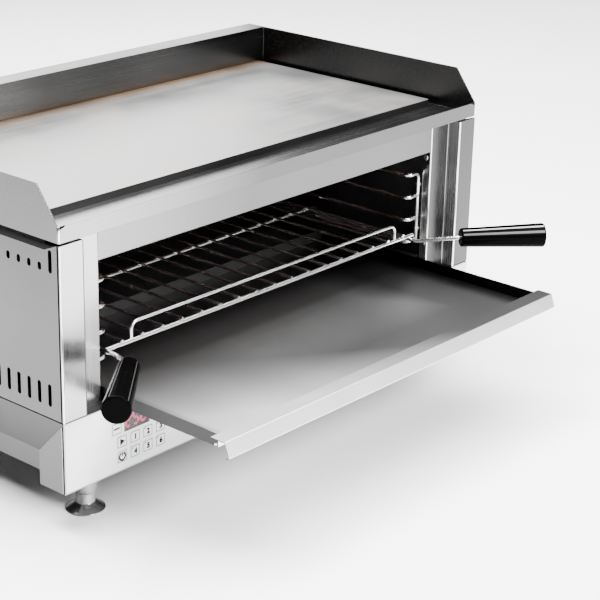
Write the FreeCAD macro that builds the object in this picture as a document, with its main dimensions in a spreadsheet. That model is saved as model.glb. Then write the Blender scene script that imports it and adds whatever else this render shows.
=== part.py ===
import FreeCAD, Part
import Sketcher
import math
import os
import re

# Griddle salamander: a flat steel griddle on top of a grill cavity with a wire rack and a drip tray.
# Millimetres. X runs to the right, Y to the back, Z up from the floor that the feet stand on.
# Everything is drawn with the front plane of the casing at Y = 0 and then moved by the placement.

# Driving sizes. Each one is set by itself and goes into the sheet as a plain number.
SIZES = {
    # casing
    "body_width": 700,
    "body_depth": 390,
    "foot_height": 48,
    "base_height": 81,
    "opening_height": 157.5,
    "fascia_height": 35.5,
    "sheet": 1.2,
    "joint_gap": 0.2,
    "edge_round": 1.0,
    # front frame
    "post_width": 32.5,
    "post_recess": 17,
    "strip_width": 35,
    "post_flange": 11,
    "post_notch": 8,
    "post_notch_height": 51,
    "post_notch_slope": 14,
    "post_seam": 1.3,
    "fascia_return": 9,
    "fascia_flange": 23,
    # side and back panels
    "side_facet_height": 8,
    "side_facet_inset": 4,
    "side_facet_drop": 2.9,
    "side_flange": 17,
    "side_ear": 22,
    "rear_flange": 16,
    "panel_seam": 1.6,
    "front_seam": 2.4,
    "slot_width": 5.4,
    "slot_corner": 1.7,
    "slot_count": 22,
    "slot_start": 20,
    "slot_end": 34,
    "low_slot_height": 25,
    "low_slot_rise": 14.5,
    "top_slot_height": 8.6,
    "top_slot_drop": 23.1,
    "tall_slot_height": 24.5,
    "tall_slot_start": 14,
    "back_slot_count": 24,
    "back_slot_height": 34,
    "back_slot_rise": 118,
    "back_screw_inset": 9,
    # control box and base
    "box_depth": 40,
    "box_shoulder": 39,
    "sill_inset": 22,
    "sill_height": 23.7,
    "panel_margin": 1,
    "panel_film": 0.5,
    "key_width": 14.2,
    "key_height": 13.6,
    "key_round": 1.8,
    "key_pitch_x": 19.1,
    "key_pitch_z": 17.3,
    "key_inset": 80.5,
    "key_rise": 17.6,
    "key_proud": 0.3,
    "key_lip": 0.8,
    "key_lip_depth": 0.6,
    "key_gap": 0.25,
    "key_travel": 0.4,
    "display_width": 37.4,
    "display_rise": 10.1,
    "display_gap": 4,
    "display_drop": 14,
    "board_depth": 9,
    "board_thickness": 1.6,
    "board_margin": 12,
    # griddle and its surround
    "shadow_gap": 2.6,
    "splash_height": 56.9,
    "splash_chamfer": 32,
    "splash_sheet": 2,
    "rim_height": 17.4,
    "rim_round": 3,
    "notch_width": 9,
    "notch_height": 3.4,
    "notch_setback": 0.4,
    "gutter_depth": 14,
    "plate_front": 65,
    "plate_side_gap": 10,
    "plate_back_gap": 0.5,
    "plate_thickness": 8,
    "plate_round": 3,
    "plate_seat": 20,
    "rear_splash_depth": 29,
    "gasket_width": 12,
    # griddle heating under the plate
    "griddle_tube": 8.5,
    "griddle_legs": 5,
    "griddle_leg_pitch": 46,
    "griddle_tube_margin": 18,
    "griddle_middle_gap": 40,
    "griddle_terminal": 9,
    "clamp_thickness": 1.5,
    "clamp_margin": 5,
    "stud_diameter": 6,
    "stud_nut": 11,
    "stud_nut_height": 4.5,
    "probe_diameter": 6,
    "probe_length": 90,
    # grill cavity
    "cavity_rise": 13.5,
    "liner_sheet": 1,
    "liner_rear_gap": 33,
    "liner_front": 19,
    "insulation_thickness": 8,
    "insulation_margin": 4,
    "grill_tube": 8,
    "grill_tube_drop": 23,
    "grill_bend": 22,
    "grill_first": 87,
    "grill_rear_gap": 60,
    "grill_reach": 24,
    "grill_terminal": 16,
    "hanger_thickness": 2,
    "hanger_spread": 150,
    "hanger_margin": 5,
    "hole_gap": 0.3,
    # rack carriers
    "wire": 5,
    "rung_first": 40,
    "rung_top_gap": 43.1,
    "rung_count": 4,
    "rung_reach": 20.2,
    "ladder_wall_gap": 4.2,
    "ladder_front": 33,
    "ladder_rear_gap": 20,
    "ladder_bend": 7,
    "peg_diameter": 8,
    "screw_head": 7,
    "screw_head_height": 2.2,
    "screw_shank": 4,
    "screw_length": 7,
    "screw_setback": 22,
    "screw_setback_high": 24.6,
    "screw_low": 37,
    "screw_top_gap": 22,
    # wire rack
    "cross_end": 5.5,
    "rack_front": 27.3,
    "rack_rear_gap": 4.7,
    "rack_lift": 0.3,
    "rack_bar": 3.5,
    "rack_bar_count": 17,
    "rack_bar_inset": 21.8,
    "bar_overhang": 3,
    "guard_wire": 3.8,
    "guard_inset": 37.5,
    "guard_height": 21,
    "guard_bend": 9,
    "stem_bend_at": 18,
    "stem_bend": 16,
    "stem_turn": 9,
    "stem_insert": 34,
    "stem_straight": 4,
    "grip_spread": 27.5,
    "grip_inner_y": 31.5,
    "grip_rise": 10,
    "grip_length": 109,
    "grip_angle": 50.4,
    "grip_start_radius": 11.8,
    "grip_end_radius": 15.4,
    "grip_edge": 2.5,
    # drip tray
    "tray_sheet": 1,
    "tray_side_gap": 2.5,
    "tray_height": 14.4,
    "tray_rear_gap": 2.5,
    "tray_lift": 1.3,
    "tray_pullout": 165,
    "tray_stop": 2.5,
    "lip_overhang": 10,
    "lip_ledge": 19.5,
    "lip_slope": 6,
    "lip_drop": 16.5,
    "lip_hem": 5,
    "relief_length": 9,
    "relief_width": 4,
    "guide_leg": 16,
    "guide_sheet": 1,
    "guide_gap": 0.3,
    # feet
    "foot_inset_x": 58.5,
    "foot_inset_y": 35,
    "foot_base_radius": 22,
    "foot_base_edge": 1.5,
    "foot_waist_radius": 10.6,
    "foot_waist_low": 8.8,
    "foot_waist_high": 19,
    "foot_top_radius": 19.5,
    "foot_collar": 3,
    "foot_base_blend": 1.2,
    "foot_neck_blend": 12,
    "foot_gap": 0.2,
    "foot_stud": 10,
    "foot_stud_length": 30,
    "foot_nut": 17,
    "foot_nut_height": 9,
    # parts inside the base
    "gland_x": 230,
    "gland_rise": 42,
    "gland_bore": 9,
    "gland_thread": 16,
    "gland_hex": 22,
    "gland_dome": 19,
    "gland_hex_length": 7,
    "gland_dome_length": 11,
    "gland_inside": 10,
    "relay_x": 120,
    "relay_y": 130,
    "relay_length": 60,
    "relay_width": 46,
    "relay_height": 24,
    "relay_fin_height": 26,
    "relay_fin": 2,
    "relay_fin_pitch": 7,
    "relay_fin_count": 7,
    "terminal_x": 110,
    "terminal_y": 320,
    "terminal_pitch": 14,
    "terminal_count": 5,
    "terminal_width": 12,
    "terminal_depth": 26,
    "terminal_height": 22,
    "terminal_step": 10,
    "thermostat_x": 30,
    "thermostat_y": 240,
    "thermostat_diameter": 34,
    "thermostat_height": 22,
    "thermostat_stem": 8,
    "thermostat_stem_height": 12,
}

# Sizes worked out from the driving ones, kept as formulas in a second sheet.
LEVELS = {
    "half_width": "body_width / 2",
    "slot_pitch": "(body_depth - slot_start - slot_end) / (slot_count - 1)",
    "sill": "foot_height + base_height",
    "opening_top": "sill + opening_height",
    "body_top": "opening_top + fascia_height",
    "post_edge": "half_width - post_width",
    "open_half": "post_edge - strip_width",
    "facet_bottom": "body_top - side_facet_height",
    "side_top": "body_top - side_facet_drop",
    "panel_low": "sill + panel_seam",
    "panel_front": "sheet + front_seam",
    "sill_half": "half_width - sill_inset",
    "sill_top": "foot_height + sill_height",
    "box_shoulder_level": "foot_height + box_shoulder",
    "surround_bottom": "body_top + shadow_gap",
    "surround_top": "surround_bottom + splash_height",
    "rim_top": "surround_bottom + rim_height",
    "deck_top": "rim_top - gutter_depth",
    "deck_bottom": "deck_top - splash_sheet",
    "splash_inner": "half_width - splash_sheet",
    "splash_front": "body_depth - rear_splash_depth",
    "plate_half": "splash_inner - plate_side_gap",
    "plate_top": "deck_top + plate_thickness",
    "plate_rear": "splash_front - plate_back_gap",
    "seat_front": "plate_front + plate_seat",
    "seat_rear": "plate_rear - plate_seat",
    "seat_half": "plate_half - plate_seat",
    "clamp_top": "deck_top - griddle_tube",
    "liner_half": "open_half + sheet + joint_gap",
    "liner_back": "body_depth - liner_rear_gap",
    "liner_depth": "liner_back - post_recess",
    "cavity_height": "opening_height + cavity_rise",
    "cavity_top": "sill + cavity_height",
    "screw_high": "cavity_height - screw_top_gap",
    "grill_pitch": "(liner_back - grill_rear_gap - grill_first) / 2",
    "grill_level": "cavity_top - grill_tube_drop",
    "rung_low": "sill + rung_first",
    "rung_pitch": "(cavity_height - rung_first - rung_top_gap) / (rung_count - 1)",
    "ladder_x": "liner_half - ladder_wall_gap",
    "rung_x": "ladder_x - rung_reach",
    "ladder_rear": "liner_back - ladder_rear_gap",
    "rack_width": "2 * (rung_x + cross_end)",
    "rack_depth": "liner_back - rack_rear_gap - rack_front",
    "rack_bar_pitch": "(rack_width - 2 * rack_bar_inset) / (rack_bar_count - 1)",
    "guard_width": "rack_width - 2 * guard_inset",
    "grip_inner_x": "rung_x + grip_spread",
    "rod_level": "rung_low + wire + rack_lift",
    "cross_level": "rod_level + wire",
    "bar_level": "cross_level + (wire + rack_bar) / 2",
    "guard_foot": "cross_level + wire / 2",
    "guard_level": "cross_level + guard_height",
    "tray_half": "open_half - tray_side_gap",
    "tray_bottom": "sill + tray_lift",
    "tray_top": "tray_bottom + tray_height",
    "tray_depth": "liner_back - tray_rear_gap - post_recess + tray_stop",
    "tray_front": "post_recess - tray_stop - tray_pullout",
    "tray_rear": "tray_front + tray_depth",
    "lip_fold": "tray_front - lip_ledge",
    "lip_tip": "lip_fold - lip_slope",
    "lip_half": "tray_half + lip_overhang",
    "guide_top": "tray_top + 2 * guide_gap + 1",
    "front_reach": "-lip_tip",
    "back_reach": "body_depth + gland_hex_length + gland_dome_length",
    "front_plane": "(front_reach - back_reach) / 2",
    "key_column": "key_inset - half_width",
    "key_row": "foot_height + key_rise",
    "display_left": "key_column + key_width / 2 - 3.4",
    "display_right": "display_left + display_width",
    "display_top": "sill - display_drop",
    "display_bottom": "key_row + key_pitch_z + display_rise",
    "minus_column": "display_left - display_gap - key_width / 2",
    "plus_column": "display_right + display_gap + key_width / 2",
    "top_key_row": "display_bottom + key_height / 2 + 0.4",
    "board_left": "minus_column - board_margin - key_width / 2",
    "board_right": "key_column + 3 * key_pitch_x + board_margin + key_width / 2",
    "board_low": "key_row - key_height",
    "board_high": "sill - 2.5 * sheet",
    "foot_x": "half_width - foot_inset_x",
    "foot_front": "foot_inset_y",
    "foot_rear": "body_depth - foot_inset_y",
    "pan_floor": "foot_height + sheet",
}

KEYS = {
    "key_minus": ("minus_column", "top_key_row"),
    "key_plus": ("plus_column", "top_key_row"),
    "key_start": ("key_column", "key_row + key_pitch_z"),
    "key_power": ("key_column", "key_row"),
    "key_1": ("key_column + key_pitch_x", "key_row + key_pitch_z"),
    "key_2": ("key_column + 2 * key_pitch_x", "key_row + key_pitch_z"),
    "key_3": ("key_column + 3 * key_pitch_x", "key_row + key_pitch_z"),
    "key_4": ("key_column + key_pitch_x", "key_row"),
    "key_5": ("key_column + 2 * key_pitch_x", "key_row"),
    "key_6": ("key_column + 3 * key_pitch_x", "key_row"),
}

SIDES = {"left": "-1", "right": "1"}

doc = FreeCAD.newDocument("griddle_salamander")
dims = doc.addObject("Spreadsheet::Sheet", "dims")
levels = doc.addObject("Spreadsheet::Sheet", "levels")
parts = []


def bind(text):
    """Gives a formula its sheet names: every known word becomes a cell of one of the two sheets."""
    def cell(match):
        word = match.group()
        if word in SIZES:
            return "dims." + word
        if word in LEVELS:
            return "levels." + word
        return word
    return re.sub(r"[a-z][a-z_0-9]*", cell, text)


def fill_sheets():
    """Puts the driving sizes and the formulas into the two sheets."""
    for row, (name, number) in enumerate(SIZES.items(), 1):
        dims.set("A%d" % row, name)
        dims.set("B%d" % row, str(number))
        dims.setAlias("B%d" % row, name)
    doc.recompute()
    for row, (name, formula) in enumerate(LEVELS.items(), 1):
        levels.set("A%d" % row, name)
        levels.setAlias("B%d" % row, name)
        levels.set("B%d" % row, "=" + bind(formula))
    doc.recompute()


def size(name):
    """The number in one cell."""
    return float(getattr(dims if name in SIZES else levels, name))


def drive(thing, prop, formula):
    """Binds a property to a formula of the sheets."""
    thing.setExpression(prop, bind(formula))


def place(thing, x="0", y="0", z="0"):
    """Moves a finished sub-part from the drawing frame to the part's own frame."""
    drive(thing, "Placement.Base.x", x)
    drive(thing, "Placement.Base.y", "front_plane + " + y)
    drive(thing, "Placement.Base.z", z)


def new_body(label, several=False):
    body = doc.addObject("PartDesign::Body", label)
    body.Label = label
    body.AllowCompound = several
    place(body)
    parts.append(body)
    return body


def sketch_on(body, role, start):
    """A sketch on one of the body's own origin planes, set back to where its feature starts."""
    sketch = body.newObject("Sketcher::SketchObject", body.Label + "_sketch")
    plane = [p for p in body.Origin.OriginFeatures if p.Role == role][0]
    sketch.AttachmentSupport = [(plane, "")]
    sketch.MapMode = "FlatFace"
    along = "-1 * (%s)" if role == "XZ_Plane" else "%s"
    drive(sketch, "AttachmentOffset.Base.z", along % start)
    return sketch


def add_outline(sketch, corners):
    """A closed outline whose corners are all held by formulas."""
    first = sketch.GeometryCount
    count = len(corners)
    for i in range(count):
        a = 2 * math.pi * i / count
        b = 2 * math.pi * (i + 1) / count
        begin = FreeCAD.Vector(math.cos(a), math.sin(a), 0)
        end = FreeCAD.Vector(math.cos(b), math.sin(b), 0)
        sketch.addGeometry(Part.LineSegment(begin, end), False)
    for i in range(count):
        after = first + (i + 1) % count
        sketch.addConstraint(Sketcher.Constraint("Coincident", first + i, 2, after, 1))
    for i, corner in enumerate(corners):
        for kind, formula in zip(("DistanceX", "DistanceY"), corner):
            held = sketch.addConstraint(Sketcher.Constraint(kind, -1, 1, first + i, 1, 1.0))
            drive(sketch, "Constraints[%d]" % held, formula)


def add_circle(sketch, x, y, diameter):
    centre = FreeCAD.Vector(0, 0, 0)
    circle = sketch.addGeometry(Part.Circle(centre, FreeCAD.Vector(0, 0, 1), 1), False)
    for kind, formula in (("DistanceX", x), ("DistanceY", y)):
        held = sketch.addConstraint(Sketcher.Constraint(kind, -1, 1, circle, 3, 1.0))
        drive(sketch, "Constraints[%d]" % held, formula)
    held = sketch.addConstraint(Sketcher.Constraint("Diameter", circle, 1.0))
    drive(sketch, "Constraints[%d]" % held, diameter)


def rectangle(low_x, high_x, low_y, high_y):
    return [(low_x, low_y), (high_x, low_y), (high_x, high_y), (low_x, high_y)]


def slot(x, low, high, width="slot_width", corner="slot_corner"):
    """An upright slot with its four corners cut off."""
    left = "%s - %s / 2" % (x, width)
    right = "%s + %s / 2" % (x, width)
    return [
        (left + " + " + corner, low),
        (right + " - " + corner, low),
        (right, low + " + " + corner),
        (right, high + " - " + corner),
        (right + " - " + corner, high),
        (left + " + " + corner, high),
        (left, high + " - " + corner),
        (left, low + " + " + corner),
    ]


def add_feature(body, kind, sketch, length, backwards):
    feature = body.newObject("PartDesign::" + kind, body.Label + "_" + kind.lower())
    feature.Profile = sketch
    feature.Reversed = backwards
    drive(feature, "Length", length)
    return feature


def pad(body, role, start, length, *outlines):
    """Material from one plane on along the positive axis."""
    sketch = sketch_on(body, role, start)
    for corners in outlines:
        add_outline(sketch, corners)
    return add_feature(body, "Pad", sketch, length, role == "XZ_Plane")


def cut(body, role, start, length, *outlines):
    """A pocket from one plane on along the positive axis."""
    sketch = sketch_on(body, role, start)
    for corners in outlines:
        add_outline(sketch, corners)
    return add_feature(body, "Pocket", sketch, length, role != "XZ_Plane")


def drill(body, role, start, length, circles):
    sketch = sketch_on(body, role, start)
    for x, y, diameter in circles:
        add_circle(sketch, x, y, diameter)
    return add_feature(body, "Pocket", sketch, length, role != "XZ_Plane")


def pad_round(body, role, start, length, circles):
    sketch = sketch_on(body, role, start)
    for x, y, diameter in circles:
        add_circle(sketch, x, y, diameter)
    return add_feature(body, "Pad", sketch, length, role == "XZ_Plane")


def repeat(body, feature, step, count):
    """Copies of a feature along the horizontal axis of its sketch."""
    doc.recompute()
    pattern = body.newObject("PartDesign::LinearPattern", body.Label + "_pattern")
    pattern.Originals = [feature]
    pattern.Direction = (feature.Profile[0], ["H_Axis"])
    pattern.Mode = "Spacing"
    drive(pattern, "Offset", step)
    drive(pattern, "Occurrences", count)
    body.Tip = pattern
    return pattern


def round_edges(body, radius, choose):
    """Rounds the edges of the body's last feature that the choice picks by their place."""
    doc.recompute()
    base = body.Tip
    names = ["Edge%d" % i for i, edge in enumerate(base.Shape.Edges, 1) if choose(edge)]
    rounded = body.newObject("PartDesign::Fillet", body.Label + "_round")
    rounded.Base = (base, names)
    drive(rounded, "Radius", radius)
    return rounded


def upright_at(*points):
    """Picks vertical edges that stand at one of the given places in plan."""
    def choose(edge):
        ends = [v.Point for v in edge.Vertexes]
        if len(ends) != 2 or abs(ends[0].x - ends[1].x) + abs(ends[0].y - ends[1].y) > 1e-6:
            return False
        return any(abs(ends[0].x - x) + abs(ends[0].y - y) < 1e-4 for x, y in points)
    return choose


def lengthwise_at(*points):
    """Picks edges along X that lie at one of the given places in side view."""
    def choose(edge):
        ends = [v.Point for v in edge.Vertexes]
        if len(ends) != 2 or abs(ends[0].y - ends[1].y) + abs(ends[0].z - ends[1].z) > 1e-6:
            return False
        return any(abs(ends[0].y - y) + abs(ends[0].z - z) < 1e-4 for y, z in points)
    return choose


def circle_at(*places):
    """Picks round edges by radius and height."""
    def choose(edge):
        if not isinstance(edge.Curve, Part.Circle):
            return False
        centre = edge.Curve.Center
        return any(abs(edge.Curve.Radius - r) + abs(centre.z - z) < 1e-4 for r, z in places)
    return choose


def bent_path(points, bend):
    """Straight runs joined by tangent arcs of one radius."""
    edges = []
    start = points[0]
    for before, corner, after in zip(points, points[1:], points[2:]):
        back = (before - corner).normalize()
        onward = (after - corner).normalize()
        half_turn = (math.pi - back.getAngle(onward)) / 2
        reach = bend * math.tan(half_turn)
        first = corner + back * reach
        last = corner + onward * reach
        inside = (back + onward).normalize()
        middle = corner + inside * (bend / math.cos(half_turn) - bend)
        if first.distanceToPoint(start) > 1e-6:
            edges.append(Part.LineSegment(start, first).toShape())
        edges.append(Part.Arc(first, middle, last).toShape())
        start = last
    edges.append(Part.LineSegment(start, points[-1]).toShape())
    return Part.Wire(edges)


def bent_rod(points, bend, diameter):
    """A round rod along a bent path."""
    path = bent_path(points, bend)
    heading = (points[1] - points[0]).normalize()
    section = Part.Wire(Part.makeCircle(diameter / 2, points[0], heading))
    return path.makePipeShell([section], True, False)


def new_shape(label, shape):
    """A sub-part whose shape is made in code, placed like the others."""
    feature = doc.addObject("Part::Feature", label)
    feature.Label = label
    feature.Shape = shape
    feature.Placement = FreeCAD.Placement()
    place(feature)
    parts.append(feature)
    return feature


def at(x, y, z):
    return FreeCAD.Vector(x, y, z)


def make_front_post(name, side):
    """Folded post: outer strip, step back, inner strip and a flange along the opening."""
    body = new_body("front_post_" + name)
    inner = side + " * open_half"
    behind = side + " * (open_half + sheet)"
    corners = [
        (side + " * half_width", "0"),
        (side + " * post_edge", "0"),
        (side + " * post_edge", "post_recess"),
        (inner, "post_recess"),
        (inner, "post_recess + post_flange"),
        (behind, "post_recess + post_flange"),
        (behind, "post_recess + sheet"),
        (side + " * (post_edge + sheet)", "post_recess + sheet"),
        (side + " * (post_edge + sheet)", "sheet"),
        (side + " * half_width", "sheet"),
    ]
    pad(body, "XY_Plane", "sill", "body_top - sill", corners)
    low = side + " * (open_half + sheet / 2) - 2 * sheet"
    notch = [
        ("post_recess + post_flange - post_notch", "body_top + 1"),
        ("post_recess + post_flange - post_notch", "body_top - post_notch_height"),
        ("post_recess + post_flange + 1", "body_top - post_notch_height - post_notch_slope"),
        ("post_recess + post_flange + 1", "body_top + 1"),
    ]
    cut(body, "YZ_Plane", low, "4 * sheet", notch)
    drill(body, "YZ_Plane", low, "4 * sheet",
          [("screw_setback", "sill + screw_low", "screw_shank + 2 * hole_gap")])
    cut(body, "XY_Plane", "sill - 1", "post_seam + 1",
        rectangle(side + " * (half_width + 1)", side + " * (post_edge - 1)", "-1", "post_recess - joint_gap"))
    sign = float(side)
    round_edges(body, "edge_round", upright_at(
        (sign * size("half_width"), 0),
        (sign * size("post_edge"), 0),
        (sign * size("open_half"), size("post_recess"))))


def make_fascia():
    """Strip under the rim with a return along the opening and a flange on top."""
    body = new_body("fascia")
    corners = [
        ("post_recess", "opening_top"),
        ("post_recess + fascia_return", "opening_top"),
        ("post_recess + fascia_return", "opening_top + sheet"),
        ("post_recess + sheet", "opening_top + sheet"),
        ("post_recess + sheet", "body_top - sheet"),
        ("post_recess + fascia_flange", "body_top - sheet"),
        ("post_recess + fascia_flange", "body_top"),
        ("post_recess", "body_top"),
    ]
    pad(body, "YZ_Plane", "joint_gap - open_half", "2 * (open_half - joint_gap)", corners)
    round_edges(body, "edge_round", lengthwise_at((size("post_recess"), size("opening_top"))))


def make_side_panel(name, side):
    """Side panel with its sloping top edge, front ear, rear flange and two rows of air slots."""
    body = new_body("side_panel_" + name)
    face = side + " * half_width"
    inside = side + " * (half_width - sheet)"
    corners = [
        (face, "panel_low"),
        (face, "facet_bottom"),
        (side + " * (half_width - side_facet_inset)", "side_top"),
        (side + " * (half_width - side_facet_inset - side_flange)", "side_top"),
        (side + " * (half_width - side_facet_inset - side_flange)", "side_top - sheet"),
        (side + " * (half_width - side_facet_inset - sheet / 2)", "side_top - sheet"),
        (inside, "facet_bottom"),
        (inside, "panel_low"),
    ]
    pad(body, "XZ_Plane", "panel_front", "body_depth - sheet - panel_front", corners)
    thin_start = side + " * (half_width - sheet / 2) - sheet / 2"
    ear = [("panel_front", "facet_bottom - 1"), ("side_ear", "facet_bottom - 1"),
           ("side_ear", "facet_bottom"), ("panel_front", "body_top")]
    pad(body, "YZ_Plane", thin_start, "sheet", ear)
    flange = rectangle(side + " * (half_width - sheet - rear_flange)", side + " * (half_width - sheet / 2)",
                       "panel_low", "facet_bottom - 2")
    pad(body, "XZ_Plane", "body_depth - 2 * sheet", "sheet", flange)
    through = side + " * (half_width - sheet / 2) - 1.5 * sheet"
    low = "sill + low_slot_rise"
    lower = cut(body, "YZ_Plane", through, "3 * sheet", slot("slot_start", low, low + " + low_slot_height"))
    repeat(body, lower, "slot_pitch", "slot_count")
    high = "facet_bottom - top_slot_drop"
    upper = cut(body, "YZ_Plane", through, "3 * sheet",
                slot("tall_slot_start + slot_pitch", high, high + " + top_slot_height"))
    repeat(body, upper, "slot_pitch", "slot_count - 1")
    cut(body, "YZ_Plane", through, "3 * sheet", slot("tall_slot_start", high, high + " + tall_slot_height"))
    screw_x = side + " * (half_width - back_screw_inset)"
    hole = "screw_shank + 2 * hole_gap"
    drill(body, "XZ_Plane", "body_depth - 3 * sheet", "3 * sheet",
          [(screw_x, height, hole) for height in back_screw_heights()])


def back_screw_heights():
    return ("sill + 20", "(sill + facet_bottom) / 2", "facet_bottom - 20")


def make_back_panel():
    """Flat back with a flange on top and a row of upright air slots."""
    body = new_body("back_panel")
    pad(body, "XZ_Plane", "body_depth - sheet", "sheet",
        rectangle("-half_width", "half_width", "sill", "body_top"))
    flange_half = "(half_width - side_facet_inset - side_flange - 2)"
    pad(body, "XZ_Plane", "body_depth - side_flange", "side_flange - sheet / 2",
        rectangle("-" + flange_half, flange_half, "body_top - sheet", "body_top"))
    low = "sill + back_slot_rise"
    first = "-slot_pitch * (back_slot_count - 1) / 2"
    vent = cut(body, "XZ_Plane", "body_depth - 2 * sheet", "3 * sheet",
               slot(first, low, low + " + back_slot_height"))
    repeat(body, vent, "slot_pitch", "back_slot_count")
    hole = "screw_shank + 2 * hole_gap"
    drill(body, "XZ_Plane", "body_depth - 2 * sheet", "3 * sheet",
          [(side + " * (half_width - back_screw_inset)", height, hole)
           for side in SIDES.values() for height in back_screw_heights()])


def make_back_screws():
    """Pan-head screws that hold the back panel to the rear flanges of the side panels."""
    body = new_body("back_screws", several=True)
    spots = [(side + " * (half_width - back_screw_inset)", height)
             for side in SIDES.values() for height in back_screw_heights()]
    pad_round(body, "XZ_Plane", "body_depth", "screw_head_height",
              [(x, height, "screw_head") for x, height in spots])
    pad_round(body, "XZ_Plane", "body_depth + sheet - screw_length", "screw_length - sheet / 2",
              [(x, height, "screw_shank") for x, height in spots])


def make_base_pan():
    """Bottom pan: sloping shoulders, upright sill walls and a flat bottom, closed at the rear."""
    body = new_body("base_pan")
    shell = [
        ("-half_width", "sill"),
        ("-sill_half", "sill_top"),
        ("-sill_half", "foot_height"),
        ("sill_half", "foot_height"),
        ("sill_half", "sill_top"),
        ("half_width", "sill"),
        ("half_width - sheet", "sill"),
        ("sill_half - sheet", "sill_top"),
        ("sill_half - sheet", "pan_floor"),
        ("sheet - sill_half", "pan_floor"),
        ("sheet - sill_half", "sill_top"),
        ("sheet - half_width", "sill"),
    ]
    pad(body, "XZ_Plane", "sheet", "body_depth - 2 * sheet", shell)
    pad(body, "XZ_Plane", "body_depth - sheet", "sheet", shell[:6])
    nose = [
        ("0", "foot_height - 1"),
        ("box_depth + joint_gap", "foot_height - 1"),
        ("box_depth + joint_gap", "box_shoulder_level + joint_gap"),
        ("0", "sill + joint_gap"),
    ]
    cut(body, "YZ_Plane", "-half_width - 1", "body_width + 2", nose)
    hole = "foot_stud + 4 * hole_gap"
    drill(body, "XY_Plane", "foot_height - 1", "sheet + 2",
          [(side + " * foot_x", "foot_rear", hole) for side in SIDES.values()])
    drill(body, "XZ_Plane", "body_depth - 2 * sheet", "3 * sheet",
          [("-gland_x", "foot_height + gland_rise", "gland_thread + 2 * hole_gap")])


def key_openings():
    """Outlines of the key openings, the same in the film and in the box behind it."""
    half_wide = "(key_width / 2 + key_gap)"
    half_high = "(key_height / 2 + key_gap)"
    outlines = []
    for x, z in KEYS.values():
        outlines.append(rectangle(x + " - " + half_wide, x + " + " + half_wide,
                                  z + " - " + half_high, z + " + " + half_high))
    return outlines


def display_opening(grow):
    return rectangle("display_left - " + grow, "display_right + " + grow,
                     "display_bottom - " + grow, "display_top + " + grow)


def make_control_box():
    """Front box that carries the keys: front wall, bottom, ledge under the posts and two ears."""
    body = new_body("control_box")
    pad(body, "XZ_Plane", "0", "sheet", rectangle("-half_width", "half_width", "foot_height", "sill"))
    pad(body, "XZ_Plane", "sheet", "box_depth - sheet",
        rectangle("-half_width", "half_width", "foot_height", "pan_floor"))
    pad(body, "XZ_Plane", "sheet", "liner_front - joint_gap - sheet",
        rectangle("2.5 * sheet - half_width", "half_width - 2.5 * sheet", "sill - sheet", "sill"))
    ear = [("panel_front", "pan_floor"), ("box_depth", "pan_floor"), ("box_depth", "box_shoulder_level"),
           ("panel_front", "sill - panel_front * (sill - box_shoulder_level) / box_depth")]
    for side in SIDES.values():
        pad(body, "YZ_Plane", side + " * (half_width - sheet / 2) - sheet / 2", "sheet", ear)
    for outline in key_openings():
        cut(body, "XZ_Plane", "-1", "sheet + 2", outline)
    cut(body, "XZ_Plane", "-1", "sheet + 2", display_opening("joint_gap"))
    drill(body, "XY_Plane", "foot_height - 1", "sheet + 2",
          [(side + " * foot_x", "foot_front", "foot_stud + 4 * hole_gap") for side in SIDES.values()])
    round_edges(body, "edge_round", lengthwise_at((0, size("foot_height"))))


def make_control_panel():
    """Printed film over the whole front of the control box."""
    body = new_body("control_panel")
    edge = "(half_width - panel_margin)"
    pad(body, "XZ_Plane", "-panel_film", "panel_film",
        rectangle("-" + edge, edge, "foot_height + panel_margin + edge_round", "sill - panel_margin"))
    for outline in key_openings():
        cut(body, "XZ_Plane", "-panel_film - 1", "panel_film + 2", outline)
    cut(body, "XZ_Plane", "-panel_film - 1", "panel_film + 2", display_opening("joint_gap"))


def make_display():
    """Clear window flush with the film, and the digit module that stands on the board behind it."""
    window = new_body("display_window")
    pad(window, "XZ_Plane", "-panel_film", "panel_film + sheet", display_opening("0"))
    module = new_body("display_module")
    pad(module, "XZ_Plane", "sheet + joint_gap", "board_depth - sheet - joint_gap",
        rectangle("display_left + 2", "display_right - 2", "display_bottom + 2", "display_top - 2"))


def make_control_board():
    """Circuit board on four posts, with one switch behind each key."""
    body = new_body("control_board")
    pad(body, "XZ_Plane", "board_depth", "board_thickness",
        rectangle("board_left", "board_right", "board_low", "board_high"))
    inset = "4"
    spots = [(x, z) for x in ("board_left + " + inset, "board_right - " + inset)
             for z in ("board_low + " + inset, "board_high - " + inset)]
    pad_round(body, "XZ_Plane", "sheet", "board_depth - sheet / 2", [(x, z, "6") for x, z in spots])
    switch_face = "(sheet + key_lip_depth + key_travel + 2 * joint_gap)"
    pad_round(body, "XZ_Plane", switch_face, "board_depth + sheet / 2 - " + switch_face,
              [(x, z, "6") for x, z in KEYS.values()])


def make_key(label, x, z):
    """One key: a cap through the film and the box, kept in by a lip behind the wall."""
    body = new_body(label)
    front = "(-panel_film - key_proud)"
    cap = rectangle(x + " - key_width / 2", x + " + key_width / 2",
                    z + " - key_height / 2", z + " + key_height / 2")
    pad(body, "XZ_Plane", front, "sheet - " + front, cap)
    wide = "(key_width / 2 + key_lip)"
    high = "(key_height / 2 + key_lip)"
    lip = rectangle(x + " - " + wide, x + " + " + wide, z + " - " + high, z + " + " + high)
    pad(body, "XZ_Plane", "sheet", "key_lip_depth", lip)
    def cap_corner(edge):
        ends = [v.Point for v in edge.Vertexes]
        along_y = abs(ends[0].x - ends[1].x) + abs(ends[0].z - ends[1].z) < 1e-6
        return along_y and min(p.y for p in ends) < 0
    round_edges(body, "key_round", cap_corner)


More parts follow.
